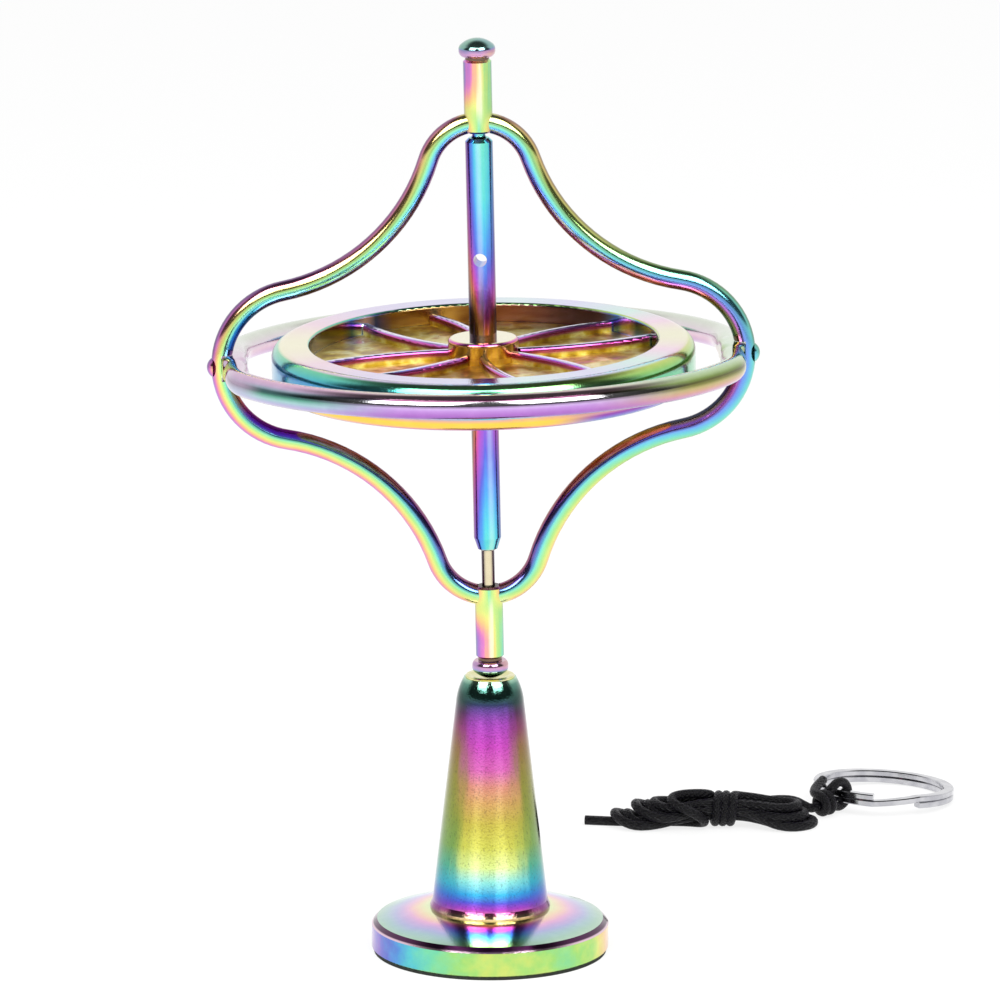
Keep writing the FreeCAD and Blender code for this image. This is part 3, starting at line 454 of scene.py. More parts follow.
# Places seen from the middle of the split ring: out towards the knot, across and up.
BARE_END = [(7.6, -3.4, 3.5), (8.9, -2.9, 3.3), (10.2, -2.3, 3.1), (11.2, -1.6, 2.95),
            (11.8, -0.8, 2.95)]
STANDING_PART = [(10.4, 0, 1.6), (11.8, 0, 1.6), (13.4, 0, 1.4)]


def at_ring(out, across, height):
    """A place given from the middle of the split ring towards its knot."""
    bearing = math.radians(KNOT_BEARING)
    toward = Vector((math.cos(bearing), math.sin(bearing), 0))
    beside = Vector((-toward.y, toward.x, 0))
    place = RING_MIDDLE + toward * out + beside * across
    return (place.x, place.y, height)


def knot_points():
    """From the bare end, round the standing part, round the ring and back through."""
    points = [at_ring(*place) for place in BARE_END]
    first, last = KNOT_ANGLES
    for angle in range(first, last - 1, -TURN_STEP):
        turn = math.radians(angle)
        out = KNOT_OUT - KNOT_LONG * (first - angle) / (first - last)
        across, up = KNOT_REACH * math.cos(turn), KNOT_REACH * math.sin(turn)
        points.append(at_ring(out, across, KNOT_HEIGHT + up))
    band = RING_RADIUS - LOOP_INWARD
    for angle in LOOP_ANGLES:
        turn = math.radians(angle)
        out, up = LOOP_REACH * math.cos(turn), LOOP_REACH * math.sin(turn)
        points.append(at_ring(band + out, LOOP_ACROSS, LOOP_HEIGHT + up))
    return points + [at_ring(*place) for place in STANDING_PART]


# %% Cord: the loose parts and the whole route
LEAD = [(39.9, 59.8, 1.9), (38.6, 59.7, 2.7), (36.6, 59.5, 2.85), (34.6, 59.0, 2.75),
        (33.0, 58.4, 2.5)]
# A small bight beside the wrap, then under it and out to the left below the folds.
TAIL = [(27.0, 57.5, 4.15), (25.6, 57.3, 4.2), (24.2, 57.1, 4.15), (23.1, 56.5, 4.0),
        (22.8, 55.5, 3.8), (23.3, 54.6, 3.5), (24.4, 54.1, 3.1), (25.7, 54.0, 2.5),
        (26.8, 54.4, 1.7), (27.2, 55.3, 1.0), (26.6, 56.4, 0.6), (25.2, 56.9, 0.6),
        (23.4, 57.1, 0.6), (21.2, 57.1, 0.6), (18.9, 57.0, 0.6), (16.4, 57.1, 0.6),
        (14.3, 57.4, 0.6), (12.0, 57.8, 0.6)]

cord_route = knot_points() + LEAD + hank_points() + wrap_points() + TAIL
print("cord:", len(cord_route), "points on its route")

# %% [markdown]
# A Bezier curve would need two handles at each of its points. A NURBS curve needs none
# and rounds every corner, so a cord that is bent tightly stays free of kinks. Its
# bevel makes the thickness, and caps close its ends.

# %% Cord: one smooth curve


def cord_curve(name, route, diameter):
    """A NURBS curve whose control points are the route, in millimetres."""
    data = bpy.data.curves.new(name, "CURVE")
    data.dimensions = "3D"
    data.bevel_depth = 1.0
    data.bevel_resolution = 4
    data.resolution_u = 3
    data.use_fill_caps = True
    spline = data.splines.new("NURBS")
    spline.points.add(len(route) - 1)
    for point, place in zip(spline.points, route):
        point.co = (*(v * MM for v in place), 1)
        point.radius = diameter / 2 * MM
    spline.order_u = 3
    spline.use_endpoint_u = True
    spline.use_smooth = True
    made = bpy.data.objects.new(name, data)
    bpy.context.scene.collection.objects.link(made)
    return made


cord = cord_curve("pull_cord_braid", cord_route, CORD)
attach(cord, "pull_cord")
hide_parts("cord_hank", "cord_tail", "cord_lead", "ring_knot")
[v * MM for v in cord_route[0]]

# %% [markdown]
# ## Rainbow plating
# These colours aren't paint. In a vacuum chamber a clear film, thinner than a
# wavelength of light, grows on the polished metal. Light from its top and light from
# its underside meet again, and the colour that is left depends on the film's thickness
# alone: gold where it is thinnest, then magenta, blue, cyan, green and yellow, and
# then the same again, paler. One colour ramp holds that series, and each piece below
# only works out how thick its film is from place to place.

# %% Film
FILM_SERIES = [
    (0.00, "33201a"), (0.06, "7a4a1a"), (0.12, "c8882a"), (0.18, "de7048"), (0.24, "cc4499"),
    (0.32, "9a48c0"), (0.40, "5058cc"), (0.48, "3f92de"), (0.56, "48c8d2"), (0.64, "70dcaa"),
    (0.72, "9ede70"), (0.80, "dee668"), (0.87, "f2c46a"), (0.93, "f29a8a"), (0.99, "dc66bc"),
    (1.06, "a45cc8"), (1.13, "6a74c8"), (1.20, "4aa0a8"), (1.28, "58b080"), (1.40, "98c890"),
]
FILM_MOST = FILM_SERIES[-1][0]


def film(finish, thickness):
    """The colour of a film of this thickness."""
    stops = [(place / FILM_MOST, colour) for place, colour in FILM_SERIES]
    return finish.ramp(thickness / FILM_MOST, stops)


def curve(finish, value, points):
    """A number that follows straight runs between points given as (value, result)."""
    first, last = points[0][0], points[-1][0]
    most = max(result for _, result in points)
    stops = [((place - first) / (last - first), result / most) for place, result in points]
    return finish.ramp((value - first) / (last - first), stops) * most


print("film: a series of", len(FILM_SERIES), "colours")

# %% [markdown]
# A film's thickness follows the shape of its piece, so a finish asks two things of
# each point: where it is and which way it faces. Both are measured in the piece's own
# frame, because the gyroscope leans a little. A Mapping node of the Texture type does
# that in one step, and turns metres into millimetres as well.

# %% Frames
RING_TILT = 2.5


def frame_of(joint, tilt=0.0):
    """The middle of what turns about a joint, and how it slants."""
    axis = Vector(JOINTS[joint]["axis"])
    slant = (math.radians(tilt), -math.acos(axis.z), math.atan2(-axis.y, -axis.x))
    return JOINTS[joint]["pos_m"], slant


GYRO = frame_of("rotor_spin")
LEVEL_RING = frame_of("rotor_spin", -RING_TILT)
STAND = ((0, 0, 0), (0, 0, 0))
print("the gyroscope leans by", round(math.degrees(-GYRO[1][1]), 2), "degrees")

# %% Where a point is and which way it faces
Spot = namedtuple("Spot", "place x y z nx ny nz")


def split(finish, vector):
    """The three numbers of a vector."""
    parts = finish.node("ShaderNodeSeparateXYZ", [vector]).plug.node
    return [Socket(finish, plug) for plug in parts.outputs]


def measure(finish, frame):
    """The place in millimetres, its three numbers and those of the way it faces."""
    middle, slant = frame
    place = finish.node(
        "ShaderNodeMapping",
        {"Vector": finish.node("ShaderNodeTexCoord", output="Object"),
         "Location": middle, "Rotation": slant, "Scale": (MM, MM, MM)},
        vector_type="TEXTURE",
    )
    facing = finish.node(
        "ShaderNodeMapping",
        {"Vector": finish.node("ShaderNodeTexCoord", output="Normal"), "Rotation": slant},
        vector_type="TEXTURE",
    )
    return Spot(place, *split(finish, place), *split(finish, facing))


# %% A new finish


def new_finish(name, *pieces):
    """A material with an empty node tree, on one or more pieces."""
    made = bpy.data.materials.new(name)
    made.use_nodes = True
    for piece in pieces:
        if not piece.material_slots:
            piece.data.materials.append(made)
        for slot in piece.material_slots:
            slot.material = made
    print("finish", name, "on", ", ".join(piece.name for piece in pieces))
    return Finish(made.node_tree)


# %% Helpers for patterns and for the surface


def noise(finish, place, scale, detail=2.0):
    """Cloudy numbers round 0.5, about `scale` clouds to a unit of the place."""
    return finish.node("ShaderNodeTexNoise", {"Vector": place, "Scale": scale, "Detail": detail})


def hypot(first, second):
    """The length of the long side of a right triangle."""
    total = first * first + second * second
    return total.maths("SQRT", total)


def bumps(finish, height, strength, depth):
    """A normal that shows bumps of this depth in millimetres."""
    return finish.node(
        "ShaderNodeBump", {"Strength": strength, "Distance": depth * MM, "Height": height}
    )


def surface(finish, colour, roughness, normal, **more):
    """The last two nodes of every finish."""
    skin = finish.node("ShaderNodeBsdfPrincipled", {
        "Base Color": colour, "Roughness": roughness, "Normal": normal, **more,
    })
    finish.node("ShaderNodeOutputMaterial", [skin])


# %% [markdown]
# The plated pieces differ in colour only. Under it they are the same polished metal,
# with small dents, and with smears in the gloss that fingers have left. A thin clear
# coat adds the sharp reflection of the film itself.

# %% Polished metal
SMEAR_SCALE = 0.7
DENT_DEPTH = 0.03
COAT = {"Metallic": 1.0, "Coat Weight": 0.3, "Coat Roughness": 0.04}


def polish(finish, place, colour, gloss, dents=0.15, fine=6.0):
    """Polished metal of this colour, with smears in its gloss and small dents."""
    smears = noise(finish, place, SMEAR_SCALE, detail=4.0)
    grain = noise(finish, place, fine, detail=3.0)
    worn = finish.mix((smears - 0.45) * 0.5, colour, "ffffff", blend_type="SOFT_LIGHT")
    normal = bumps(finish, grain, strength=dents, depth=DENT_DEPTH)
    surface(finish, worn, gloss * (0.6 + smears * 0.8), normal, **COAT)


# %% [markdown]
# ### The level ring's shape
# The ring and the loop cross at two places, and there the ring is bent inwards by half
# a wire, so that it passes through the notches in the loop's inner side. The CAD model
# has a plain round ring with its outer half cut away instead. A torus could be pulled
# in by hand, but a closed curve follows a rule: its radius is that of the CAD ring,
# less a smooth dip at each crossing.

# %% Level ring: how far out its middle line runs
RING_ROUND = 31.4
RING_DIP = 1.5
DIP_STARTS, DIP_ENDS = 24, 7


def nearness(angle, starts, ends):
    """0 as far from a crossing as it starts and 1 as near to it as it ends."""
    off = abs((angle + 90) % 180 - 90)
    return min(1, max(0, (starts - off) / (starts - ends)))


def ring_reach(angle):
    """The radius of the ring's middle line at an angle. It crosses the loop at 0 and 180."""
    return (RING_ROUND - RING_DIP * ease(nearness(angle, DIP_STARTS, DIP_ENDS))) * MM


print("ring's middle line at a crossing:", round(ring_reach(0) / MM, 2), "mm")

# %% Level ring: one closed curve
RING_WIRE = 3.0
RING_POINTS = 180

ring_line = bpy.data.curves.new("level_ring", "CURVE")
ring_line.dimensions = "3D"
ring_line.bevel_depth = RING_WIRE / 2 * MM
ring_line.bevel_resolution = 10
ring_line.resolution_u = 3
spline = ring_line.splines.new("NURBS")
spline.points.add(RING_POINTS - 1)
for number, point in enumerate(spline.points):
    angle = 360 * number / RING_POINTS
    turn, reach = math.radians(angle), ring_reach(angle)
    point.co = (reach * math.cos(turn), reach * math.sin(turn), 0, 1)
spline.use_cyclic_u = True
spline.order_u = 4
level_ring = bpy.data.objects.new("level_ring", ring_line)
bpy.context.scene.collection.objects.link(level_ring)
middle, slant = LEVEL_RING
level_ring.matrix_world = Matrix.Translation(middle) @ Euler(slant).to_matrix().to_4x4()
bpy.ops.object.select_all(action="DESELECT")
level_ring.select_set(True)
bpy.context.view_layer.objects.active = level_ring
bpy.ops.object.convert(target="MESH")
print("ring's mesh:", len(level_ring.data.vertices), "vertices")

# %% [markdown]
# Where the wire lies in a notch it was pressed square, so that no slit is left beside
# it. A round section is the curve whose two coordinates, each to the power of 2, add up
# to one. A higher power fills the corners, so each point near a crossing is moved out
# onto such a curve, and the power fades back to 2 beside the notch.

# %% Level ring: square in the notches
SQUARE_STARTS, SQUARE_ENDS = 7.5, 3.5
SQUARE_POWER = 5

for corner in level_ring.data.vertices:
    angle = math.degrees(math.atan2(corner.co.y, corner.co.x))
    power = 2 + SQUARE_POWER * nearness(angle, SQUARE_STARTS, SQUARE_ENDS) ** 2
    reach = ring_reach(angle)
    out, rise = corner.co.xy.length - reach, corner.co.z
    girth = math.hypot(out, rise)
    swell = ((abs(out) / girth) ** power + (abs(rise) / girth) ** power) ** (-1 / power)
    corner.co.z = rise * swell
    corner.co.xy = corner.co.xy.normalized() * (reach + out * swell)

bpy.ops.object.transform_apply(location=True, rotation=True, scale=True)
bpy.ops.object.shade_smooth()
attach(level_ring, "cage")
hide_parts("equator_ring")
spans = [[corner.co[axis] / MM for corner in level_ring.data.vertices] for axis in range(3)]
print("bent ring in mm:", [round(max(span) - min(span), 2) for span in spans])

# %% [markdown]
# ### The upright loop
# The wire's film is thicker on the outside of the bend, which faced the source, and
# thinner on the inside, and it thins from left to right. A picture could be wrapped
# round the wire, but two numbers are enough. `out` tells the sides apart: it is the
# share of the normal that points away from the cage's middle, from -1 inside to 1
# outside. The posts are coloured from left to right instead, with fine upright lines.

# %% Loop: film on the wire
INNER_GAIN = 0.45
LOOP_PIECES = ("cage_loop", "rivet_left", "rivet_right")

loop_finish = new_finish("plated_loop", *(NODES[name] for name in LOOP_PIECES))
at = measure(loop_finish, GYRO)
outward = at.x * at.nx + at.z * at.nz
out = outward.maths("SIGN", outward) * outward.maths("SQRT", 1 - at.ny * at.ny)
base = curve(loop_finish, at.x, [(-33, 0.70), (0, 0.67), (12, 0.61), (22, 0.50), (33, 0.42)])
outer_gain = curve(loop_finish, at.x, [(-33, 0.40), (-8, 0.34), (8, 0.26), (33, 0.20)])
rising = out.step(-0.02, 0.02)
wire_film = base + out * (rising * outer_gain + (1 - rising) * INNER_GAIN)

# %% Loop: film on the posts
POST_SIDE, POST_FOOT = (1.8, 3.2), (28.2, 31.0)
POST_BLEND = (29.0, 35.0)
POST_FILM, POST_FILM_INSIDE = 0.87, 0.74
LENGTHWISE = (3.0, 3.0, 0.15)

lines = noise(loop_finish, loop_finish.stretch(at.place, LENGTHWISE), scale=0.8, detail=3.0)
post_film = POST_FILM - 0.24 * at.nx + (lines - 0.5) * 0.2
post_film = post_film + (POST_FILM_INSIDE - post_film) * (1 - abs(at.z).step(*POST_BLEND))
on_post = (1 - abs(at.x).step(*POST_SIDE)) * abs(at.z).step(*POST_FOOT)

# %% Loop: colours
thickness = wire_film + (post_film - wire_film) * on_post
thickness = thickness + (noise(loop_finish, at.place, scale=0.25) - 0.5) * 0.08
colour = loop_finish.mix(0.2, film(loop_finish, thickness), "b4b0b4")
# Painted shade: the wire is painted nearly black inside the bend, and a painted dark reflection,
# violet to olive, runs along its outer edge on top.
inside = (1 - out.step(-0.9, -0.5)) * (1 - on_post)
colour = loop_finish.mix(inside * 0.55, colour, "1c1418")
# Painted dark reflection along the wire's outer edge on top.
outside = out.step(0.72, 0.97) * at.z.step(-3, 3) * (1 - on_post)
painted_dark_ridge = loop_finish.mix(at.x.step(-12, 16), "4a2044", "3a4a22")
colour = loop_finish.mix(outside * 0.7, colour, painted_dark_ridge)
# Each post has a painted cream highlight near its middle and painted shade on its edges.
painted_gleam = 1 - abs(at.nx - 0.12 + (lines - 0.5) * 0.5).step(0.04, 0.26)
colour = loop_finish.mix(painted_gleam * on_post * 0.5, colour, "f8f2e4")
painted_edge_shade = (at.nx * at.nx).step(0.72, 1.0)
colour = loop_finish.mix(painted_edge_shade * on_post * 0.55, colour, "5c4c54")
polish(loop_finish, at.place, colour, gloss=0.15, dents=0.1)

# %% [markdown]
# ### The level ring
# The level ring shows its long side to the front, so its bands run along it: pink on
# top, a dark red line that is a painted reflection of the dark room, a white band that
# is a painted highlight, and lavender below. Towards the left they turn grey-blue and
# teal, and towards the right olive green. Its left end is lilac, and the far side is
# pale. The film could be worked out here too, but the bands are so regular that four
# ramps over the height of the normal hold them, and the side that a point lies on
# mixes them.

# %% Level ring: four ramps
ring_finish = new_finish("plated_ring", level_ring)
at = measure(ring_finish, LEVEL_RING)
height = at.nz * 0.5 + 0.5
# In the front ramp the white stops are a painted highlight and the dark red stops a painted
# reflection.
front = ring_finish.ramp(height, [
    (0.0, "8a50b0"), (0.20, "a468bc"), (0.40, "b486cc"), (0.53, "c4a8d8"), (0.58, "9a7aa8"),
    (0.62, "f0eaf4"), (0.73, "f4f0f6"), (0.775, "4a1838"), (0.81, "4a1838"), (0.85, "d0a0b8"),
    (0.93, "dcb8c8"), (1.0, "d0c8b8"),
])
left = ring_finish.ramp(height, [
    (0.0, "b8a0d0"), (0.20, "a8a8cc"), (0.35, "98c0c0"), (0.50, "5a9c88"), (0.61, "2c5856"),
    (0.69, "3c5c60"), (0.76, "8c9cac"), (0.85, "c0a8c8"), (1.0, "d8a8c4"),
])
right = ring_finish.ramp(height, [
    (0.0, "a868b4"), (0.16, "c486a4"), (0.30, "c89c80"), (0.43, "b8a870"), (0.55, "8c8c4a"),
    (0.65, "5c5c2a"), (0.75, "7a9048"), (0.86, "a8c088"), (1.0, "c0d8b8"),
])
rear = ring_finish.ramp(height, [
    (0.0, "b080c0"), (0.4, "d8b8c8"), (0.6, "e0d0dc"), (1.0, "d0d8c8"),
])

# %% Level ring: which ramp where
LEFT_END = (26.5, 29.5)
REAR_STARTS = (-4, 12)

side = at.x / hypot(at.x, at.y)
colour = ring_finish.mix(side.step(0.3, 0.75), front, right)
colour = ring_finish.mix((-side).step(0.3, 0.7), colour, left)
lilac = ring_finish.mix(height.step(0.2, 0.7), "a8a8cc", "c4a4c4")
colour = ring_finish.mix((-at.x).step(*LEFT_END) * 0.7, colour, lilac)
colour = ring_finish.mix(at.y.step(*REAR_STARTS), colour, rear)
polish(ring_finish, at.place, colour, gloss=0.11)

# %% [markdown]
# ### The flywheel
# The flywheel has the most different faces. Its recess was shaded in the chamber, so
# the web keeps the thinnest film, gold and brown. The crests of the ribs and the rim
# stood out and got the thickest. Each face could have a material of its own, but the
# faces run into each other with round edges, so masks made from the radius, the height
# and the normal pick them out in one tree.

# %% Flywheel: web, ribs and hub
RIB_SIDE = (0.4, 0.85)
HUB_EDGE = (4.24, 4.28)

wheel_finish = new_finish("plated_wheel", NODES["flywheel"])
at = measure(wheel_finish, GYRO)
around = hypot(at.x, at.y)
side = at.x / around
web = wheel_finish.ramp(noise(wheel_finish, at.place, scale=0.3, detail=4.0), [
    (0.26, "6a4a22"), (0.40, "b08c34"), (0.50, "dcc458"), (0.58, "f4eca8"), (0.72, "c48c44"),
])
crest = wheel_finish.ramp(at.nz, [
    (0.0, "a8487c"), (0.3, "b84c8c"), (0.5, "cc54a4"), (0.72, "b478d0"), (0.9, "d4ccec"),
    (1.0, "e4e0f4"),
])
hub = wheel_finish.ramp(at.nz, [
    (0.0, "c89a40"), (0.35, "d08850"), (0.55, "c84a9c"), (0.85, "e08ac0"), (0.94, "f0e0b8"),
    (1.0, "f0e8c8"),
])
ribs = wheel_finish.mix(at.z.step(*RIB_SIDE), web, crest)
inner = wheel_finish.mix(1 - around.step(*HUB_EDGE), ribs, hub)

# %% Flywheel: the wall of the recess and the flat of the rim
turn = side * 0.5 + 0.5
# The blue-white stops near each end are painted highlights, reflections at the rounded ends of the
# wall.
wall = wheel_finish.ramp(turn, [
    (0.0, "8a8050"), (0.10, "8a8050"), (0.13, "3a66b0"), (0.17, "e8f4ff"), (0.20, "4a70b0"),
    (0.25, "a48850"), (0.43, "9a7848"), (0.57, "7a5044"), (0.72, "5a3a44"), (0.85, "6a4850"),
    (0.90, "3a66b0"), (0.93, "e8f4ff"), (0.95, "4a8cc0"), (1.0, "7a7a54"),
])
flat_of_rim = wheel_finish.ramp(turn, [
    (0.0, "ece6c0"), (0.06, "e8c4d4"), (0.2, "d0c2e4"), (0.45, "c8c8e8"), (0.6, "cce4e4"),
    (0.75, "ccc6ec"), (0.9, "c0e4d8"), (0.97, "ecc4dc"), (1.0, "e8e4bc"),
])

# %% Flywheel: the outside of the rim
band = curve(wheel_finish, side, [(-1, 0.57), (-0.6, 0.56), (0, 0.63), (0.6, 0.70), (1, 0.72)])
shoulder = film(wheel_finish, band + (at.nz - 0.4) * 0.16)
shoulder = wheel_finish.mix(0.25, shoulder, "60706c")
gold = wheel_finish.ramp(-at.nz, [
    (0.0, "b890b0"), (0.2, "e0b070"), (0.35, "f0c648"), (0.68, "f2c450"), (0.80, "ee9a78"),
    (0.90, "c050a4"), (0.97, "8a30a4"),
])
violet = wheel_finish.ramp(-at.nz, [
    (0.0, "a08870"), (0.25, "c08aa0"), (0.45, "8a38a0"), (0.70, "7060c4"), (0.90, "7ea0d8"),
])
under = wheel_finish.mix(side.step(0.25, 0.55), gold, violet)
outside = wheel_finish.mix((-at.nz).step(0.0, 0.12), shoulder, under)

# %% Flywheel: from the inside out
WALL_STARTS, WALL_ENDS = (20.6, 20.8), (20.86, 20.95)
RECESS_EDGE, RECESS_TOP = (20.7, 20.9), (0.6, 1.2)

rim = wheel_finish.mix(at.nz.step(0.82, 0.97), outside, flat_of_rim)
colour = wheel_finish.mix(around.step(*WALL_STARTS), inner, wall)
colour = wheel_finish.mix(around.step(*WALL_ENDS), colour, rim)
# The recess is left as it was cast, so it is less smooth than the rest.
recess = (1 - around.step(*RECESS_EDGE)) * (1 - at.z.step(*RECESS_TOP))
polish(wheel_finish, at.place, colour, gloss=0.13 + recess * 0.2, dents=0.3)

# %% [markdown]
# ### The shaft and the knobs
# The shaft's film thins towards the flywheel, which shaded it, and towards its left
# and right edges, and those edges are also painted darker as painted shade. A painted
# highlight runs down it, left of the middle above the flywheel and right of it below.
# The thin pin at its foot is pale, with painted shade at its sides. The knobs are teal
# on their outer faces and pink towards the posts, and their necks are dark brown. All
# of that follows the height and the normal, so no picture has to be drawn.

# %% Shaft
PIN_STARTS = (23.0, 23.4)

shaft_finish = new_finish("plated_shaft", NODES["rotor_shaft"])
at = measure(shaft_finish, GYRO)
along = curve(shaft_finish, at.z, [
    (-25, 0.62), (-22, 0.58), (-16, 0.49), (-10, 0.38), (-3, 0.26), (3, 0.12), (6, 0.24),
    (10, 0.38), (14, 0.48), (20, 0.56), (27, 0.60),
])
drawn_out = shaft_finish.stretch(at.place, LENGTHWISE)
streaks = noise(shaft_finish, drawn_out, scale=0.6, detail=3.0)
edge = at.nx * at.nx
thickness = along + 0.09 * at.nx - 0.2 * edge + (streaks - 0.5) * 0.12
colour = shaft_finish.mix(0.08, film(shaft_finish, thickness), "9898b4")
# Painted shade darkens the shaft's left and right edges.
colour = shaft_finish.mix(edge.step(0.35, 0.95) * 0.6, colour, "3c1450")
# A painted highlight runs down the shaft.
painted_gleam = 1 - abs(at.nx + 0.1 - (1 - at.z.step(-2, 2)) * 0.4).step(0.05, 0.32)
colour = shaft_finish.mix(painted_gleam * 0.25, colour, "dcecf4")
# The pin is pale, with painted shade at its sides.
pin = shaft_finish.mix(edge.step(0.05, 0.6), "ccc0a0", "4c3c48")
colour = shaft_finish.mix((-at.z).step(*PIN_STARTS), colour, pin)
polish(shaft_finish, at.place, colour, gloss=0.15)

# %% Knobs
NECK_ENDS = (36.95, 37.05)

for name, way in (("top_knob", 1), ("foot_knob", -1)):
    knob_finish = new_finish("plated_" + name, NODES[name])
    at = measure(knob_finish, GYRO)
    outer = (at.nz * way).step(-0.15, 0.55)
    mottle = noise(knob_finish, at.place, scale=0.8, detail=3.0) - 0.5
    thickness = 0.98 + outer * 0.26 + mottle * 0.16 - at.nx * 0.04
    colour = knob_finish.mix(0.5, film(knob_finish, thickness), "a0aeb0")
    colour = knob_finish.mix(1 - abs(at.z).step(*NECK_ENDS), colour, "6a5444")
    polish(knob_finish, at.place, colour, gloss=0.14)

# %% [markdown]
# ### The stand
# The cone is cast and only rough-polished, so it has fine pits. Its film is thinnest at
# the foot and thickens upwards through the whole series: gold, magenta, blue, cyan,
# green, yellow, pink and violet, with a second green on the shoulder, painted darker in
# part as painted shade. Down the sides the film is thinner, so the same series sits
# higher up there, and the sides are also painted darker as painted shade. One ramp over
# the height holds the middle's colours and one the sides', because the film's own
# series is too regular for a casting.

# %% Cone: two ramps
CONE_LOW, CONE_TOP = 5.0, 35.0


def up_the_cone(finish, level, stops):
    """Colours at heights in millimetres."""
    span = CONE_TOP - CONE_LOW
    return finish.ramp(
        (level - CONE_LOW) / span, [((place - CONE_LOW) / span, colour) for place, colour in stops]
    )


cone_finish = new_finish("plated_cone", NODES["stand_cone"])
at = measure(cone_finish, STAND)
# The dark stops on the shoulder are in part painted shade.
faces = up_the_cone(cone_finish, at.z, [
    (5.0, "c8a050"), (5.7, "f4e2a8"), (6.1, "d06a90"), (6.7, "a038b4"), (7.5, "4a48c4"),
    (8.5, "2a9cd4"), (10.0, "86dcd4"), (11.8, "d4e688"), (14.2, "c6c650"), (17.0, "bcae44"),
    (19.6, "cc9c5c"), (21.6, "d48878"), (23.6, "cc5ca8"), (26.5, "bc40b0"), (29.2, "9c40b0"),
    (30.7, "6a4498"), (31.5, "303c64"), (32.3, "3c6c64"), (33.4, "5a9484"), (34.2, "b0dcc0"),
])
# The sides' ramp holds the same series higher up, painted darker as painted shade.
flanks_with_painted_shade = up_the_cone(cone_finish, at.z, [
    (5.0, "7c7838"), (6.0, "8c3a84"), (7.0, "5c38a8"), (8.0, "2c60b8"), (9.5, "2098b0"),
    (11.6, "409c80"), (14.0, "6c9448"), (18.0, "7a8834"), (22.0, "84802e"), (26.0, "86643a"),
    (28.4, "7c3458"), (30.2, "4a2448"), (31.4, "243c3c"), (32.6, "2c544c"), (33.6, "508474"),
    (34.2, "b0dcc0"),
])

# %% [markdown]
# Two soft columns of light stand on the cone, one for each softbox. The lamps draw
# them faintly, because the metal is rough there, so the finish lifts them by screening
# the colour with itself, which keeps its hue. The shoulder is polished more than the
# rest and has no columns.

# %% Cone: columns and pits
COLUMN_SIDE = 0.24
COLUMN_STRETCH, PIT_STRETCH = (1.0, 1.0, 0.12), (1.0, 1.0, 0.6)
SHOULDER = (29, 32)

upright, less_upright = (
    cone_finish.stretch(at.place, factors) for factors in (COLUMN_STRETCH, PIT_STRETCH)
)
lengthwise = noise(cone_finish, upright, scale=0.8, detail=3.0) - 0.5
pits = noise(cone_finish, less_upright, scale=4.6, detail=4.0)
edge = (at.nx * at.nx + lengthwise * 0.6).step(0.06, 0.70)
# Towards the sides the darker ramp takes over, as painted shade.
colour = cone_finish.mix(edge, faces, flanks_with_painted_shade)
column = 1 - abs(abs(at.nx + 0.03 + lengthwise * 0.3) - COLUMN_SIDE).step(0.02, 0.17)
column = column * (0.75 - at.z.step(9, 20) * 0.35) * (1 - at.z.step(*SHOULDER))
colour = cone_finish.mix(column, colour, colour, blend_type="SCREEN")
colour = cone_finish.mix(pits.step(0.52, 0.72) * 0.35, colour, "2a2028")
gloss = 0.12 - at.z.step(30, 32) * 0.05
polish(cone_finish, at.place, colour, gloss, dents=0.6, fine=4.0)

# %% [markdown]
# The disc has rings of the same series, washed out by its flat bright face. Round its
# upright edge the film follows the side that a point faces, as on the flywheel, and
# the narrow bevel between the two is pink below and dark above.

# %% Disc
BEVEL_TOP = (3.45, 3.6)

disc_finish = new_finish("plated_disc", NODES["base_disc"])
at = measure(disc_finish, STAND)
rings = curve(disc_finish, hypot(at.x, at.y), [
    (7.2, 0.78), (8.2, 0.86), (9.2, 0.95), (10.2, 1.04), (11.2, 1.12), (12.2, 1.19), (13.7, 1.30),
])
stains = noise(disc_finish, at.place, scale=0.12) - 0.5
top = film(disc_finish, rings + stains * 0.2)
top = disc_finish.mix(0.36, top, "f4f4f8")
belt = curve(disc_finish, at.nx, [
    (-1, 0.34), (-0.88, 0.42), (-0.7, 0.54), (-0.45, 0.66), (0, 0.77), (0.3, 0.75), (0.6, 0.70),
    (0.85, 0.73), (1, 0.90),
])
mottle = noise(disc_finish, at.place, scale=0.5, detail=3.0) - 0.5
belt = film(disc_finish, belt + mottle * 0.14)
belt = disc_finish.mix(0.2, belt, "787c6c")
bevel = disc_finish.mix(at.z.step(*BEVEL_TOP), "e4c4d4", "4c2048")
colour = disc_finish.mix(at.nz.step(0.2, 0.35), belt, bevel)
colour = disc_finish.mix(at.nz.step(0.85, 0.95), colour, top)
polish(disc_finish, at.place, colour, gloss=0.11, dents=0.3)

# %% [markdown]
# ## The plain metals and the pad
# The cup is a pale gold ring, turned on a lathe, so its gloss has fine circles. The
# bushes are dark bronze, which holds oil. The screw under the stand is bare steel and
# so is the split ring, whose flat wire keeps the long marks of the drawing die. A
# plain metal could have one colour and one gloss, but it then looks like plastic, so
# each has two tones and marks in its gloss. The pad is matt rubber with fine crumbs.

# %% Cup, bushes and screw
LATHE_SCALE, LATHE_DEPTH = 9.0, 0.02


def turned_metal(name, frame, tones, gloss, *nodes):
    """Metal with the fine circles that a lathe leaves, in two tones."""
    finish = new_finish(name, *(NODES[node] for node in nodes))
    at = measure(finish, frame)
    unrolled = finish.node("ShaderNodeCombineXYZ", [hypot(at.x, at.y), at.z, 0.0])
    circles = noise(finish, unrolled, LATHE_SCALE)
    smears = noise(finish, at.place, scale=0.9, detail=3.0)
    colour = finish.mix(smears.step(0.3, 0.7), *tones)
    normal = bumps(finish, circles, strength=0.25, depth=LATHE_DEPTH)
    surface(finish, colour, gloss * (0.7 + circles * 0.6), normal, Metallic=1.0)


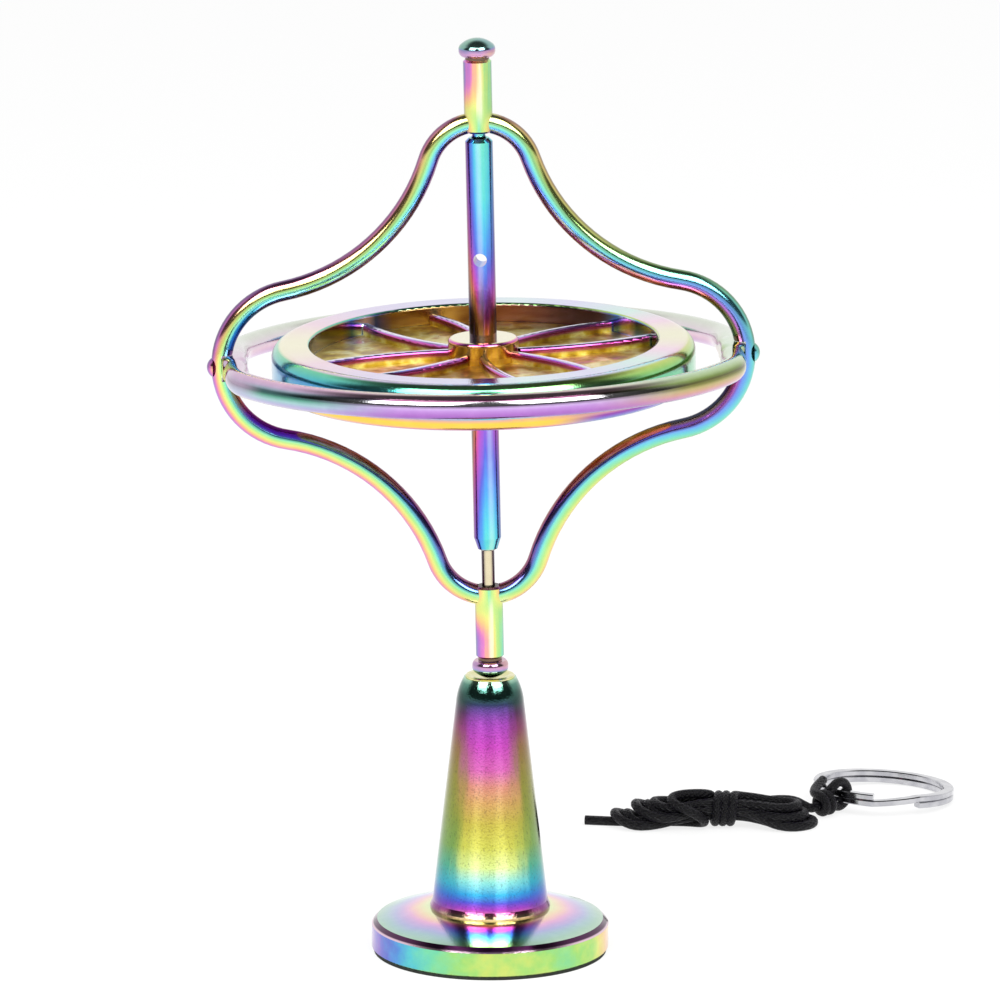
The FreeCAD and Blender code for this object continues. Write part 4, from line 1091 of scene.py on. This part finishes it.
turned_metal("pale_gold", STAND, ("ece4b8", "d8d890"), 0.12, "cup_seat")
turned_metal("dark_bronze", GYRO, ("4a3426", "2c2230"), 0.3, "upper_bush", "lower_bush")
turned_metal("turned_steel", STAND, ("b8b8bc", "9a9aa2"), 0.28, "stand_screw")

# %% Split ring
DIE_MARKS = (1.0, 1.0, 12.0)

wire_finish = new_finish("drawn_steel", NODES["split_ring"])
place = measure(wire_finish, (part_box("split_ring")[0], (0, 0, 0))).place
marks = noise(wire_finish, wire_finish.stretch(place, DIE_MARKS), scale=2.0, detail=4.0)
smears = noise(wire_finish, place, scale=0.5, detail=3.0)
colour = wire_finish.mix(smears.step(0.35, 0.65), "cacace", "b4b4ba")
normal = bumps(wire_finish, marks, strength=0.2, depth=0.02)
surface(wire_finish, colour, 0.07 + smears * 0.08, normal, Metallic=1.0)

# %% Pad
pad_finish = new_finish("rubber_pad", NODES["base_pad"])
crumbs = noise(pad_finish, measure(pad_finish, STAND).place, scale=5.0, detail=4.0)
colour = pad_finish.mix(crumbs.step(0.4, 0.65), "141713", "262a22")
normal = bumps(pad_finish, crumbs, strength=0.6, depth=0.05)
surface(pad_finish, colour, 0.7 + crumbs * 0.25, normal)

# %% [markdown]
# ## The braid
# The cord is a round braid of black polyester. Strands cross in two opposite
# spirals, and each shows as a short rib where it comes out on top. They could be
# modelled one by one, but they are a tenth of a millimetre high, so bumps are enough.
# The curve's own UV map runs along the cord and round it, so two slanted waves on it
# make the plait, and it follows every fold. Polyester has a soft shine, with a trace
# of violet.

# %% Braid
PLAIT = 0.8
STRANDS = 8
STRAND_HEIGHT = 0.12
FUZZ_SCALE = 9000
SHINE = {
    "Specular IOR Level": 0.22, "Sheen Weight": 0.05, "Sheen Roughness": 0.35,
    "Sheen Tint": paint("8a7aa8"),
}

cord_finish = new_finish("black_braid", cord)
along, around, _ = split(cord_finish, cord_finish.node("ShaderNodeTexCoord", output="UV"))
stride = CORD_LENGTH / MM / PLAIT
spirals = (along * stride + around * STRANDS, along * stride - around * STRANDS)
first, second = (wave.maths("PINGPONG", wave, 0.5) * 2 for wave in spirals)
ribs = first.maths("MAXIMUM", first, second).step(0.35, 1.0)
place = cord_finish.node("ShaderNodeTexCoord", output="Object")
fuzz = noise(cord_finish, place, FUZZ_SCALE)
normal = bumps(cord_finish, ribs * 0.85 + fuzz * 0.15, strength=0.9, depth=STRAND_HEIGHT)
colour = cord_finish.mix(ribs, "020203", "0b0a10")
surface(cord_finish, colour, 0.46 - ribs * 0.2 + fuzz * 0.1, normal, **SHINE)
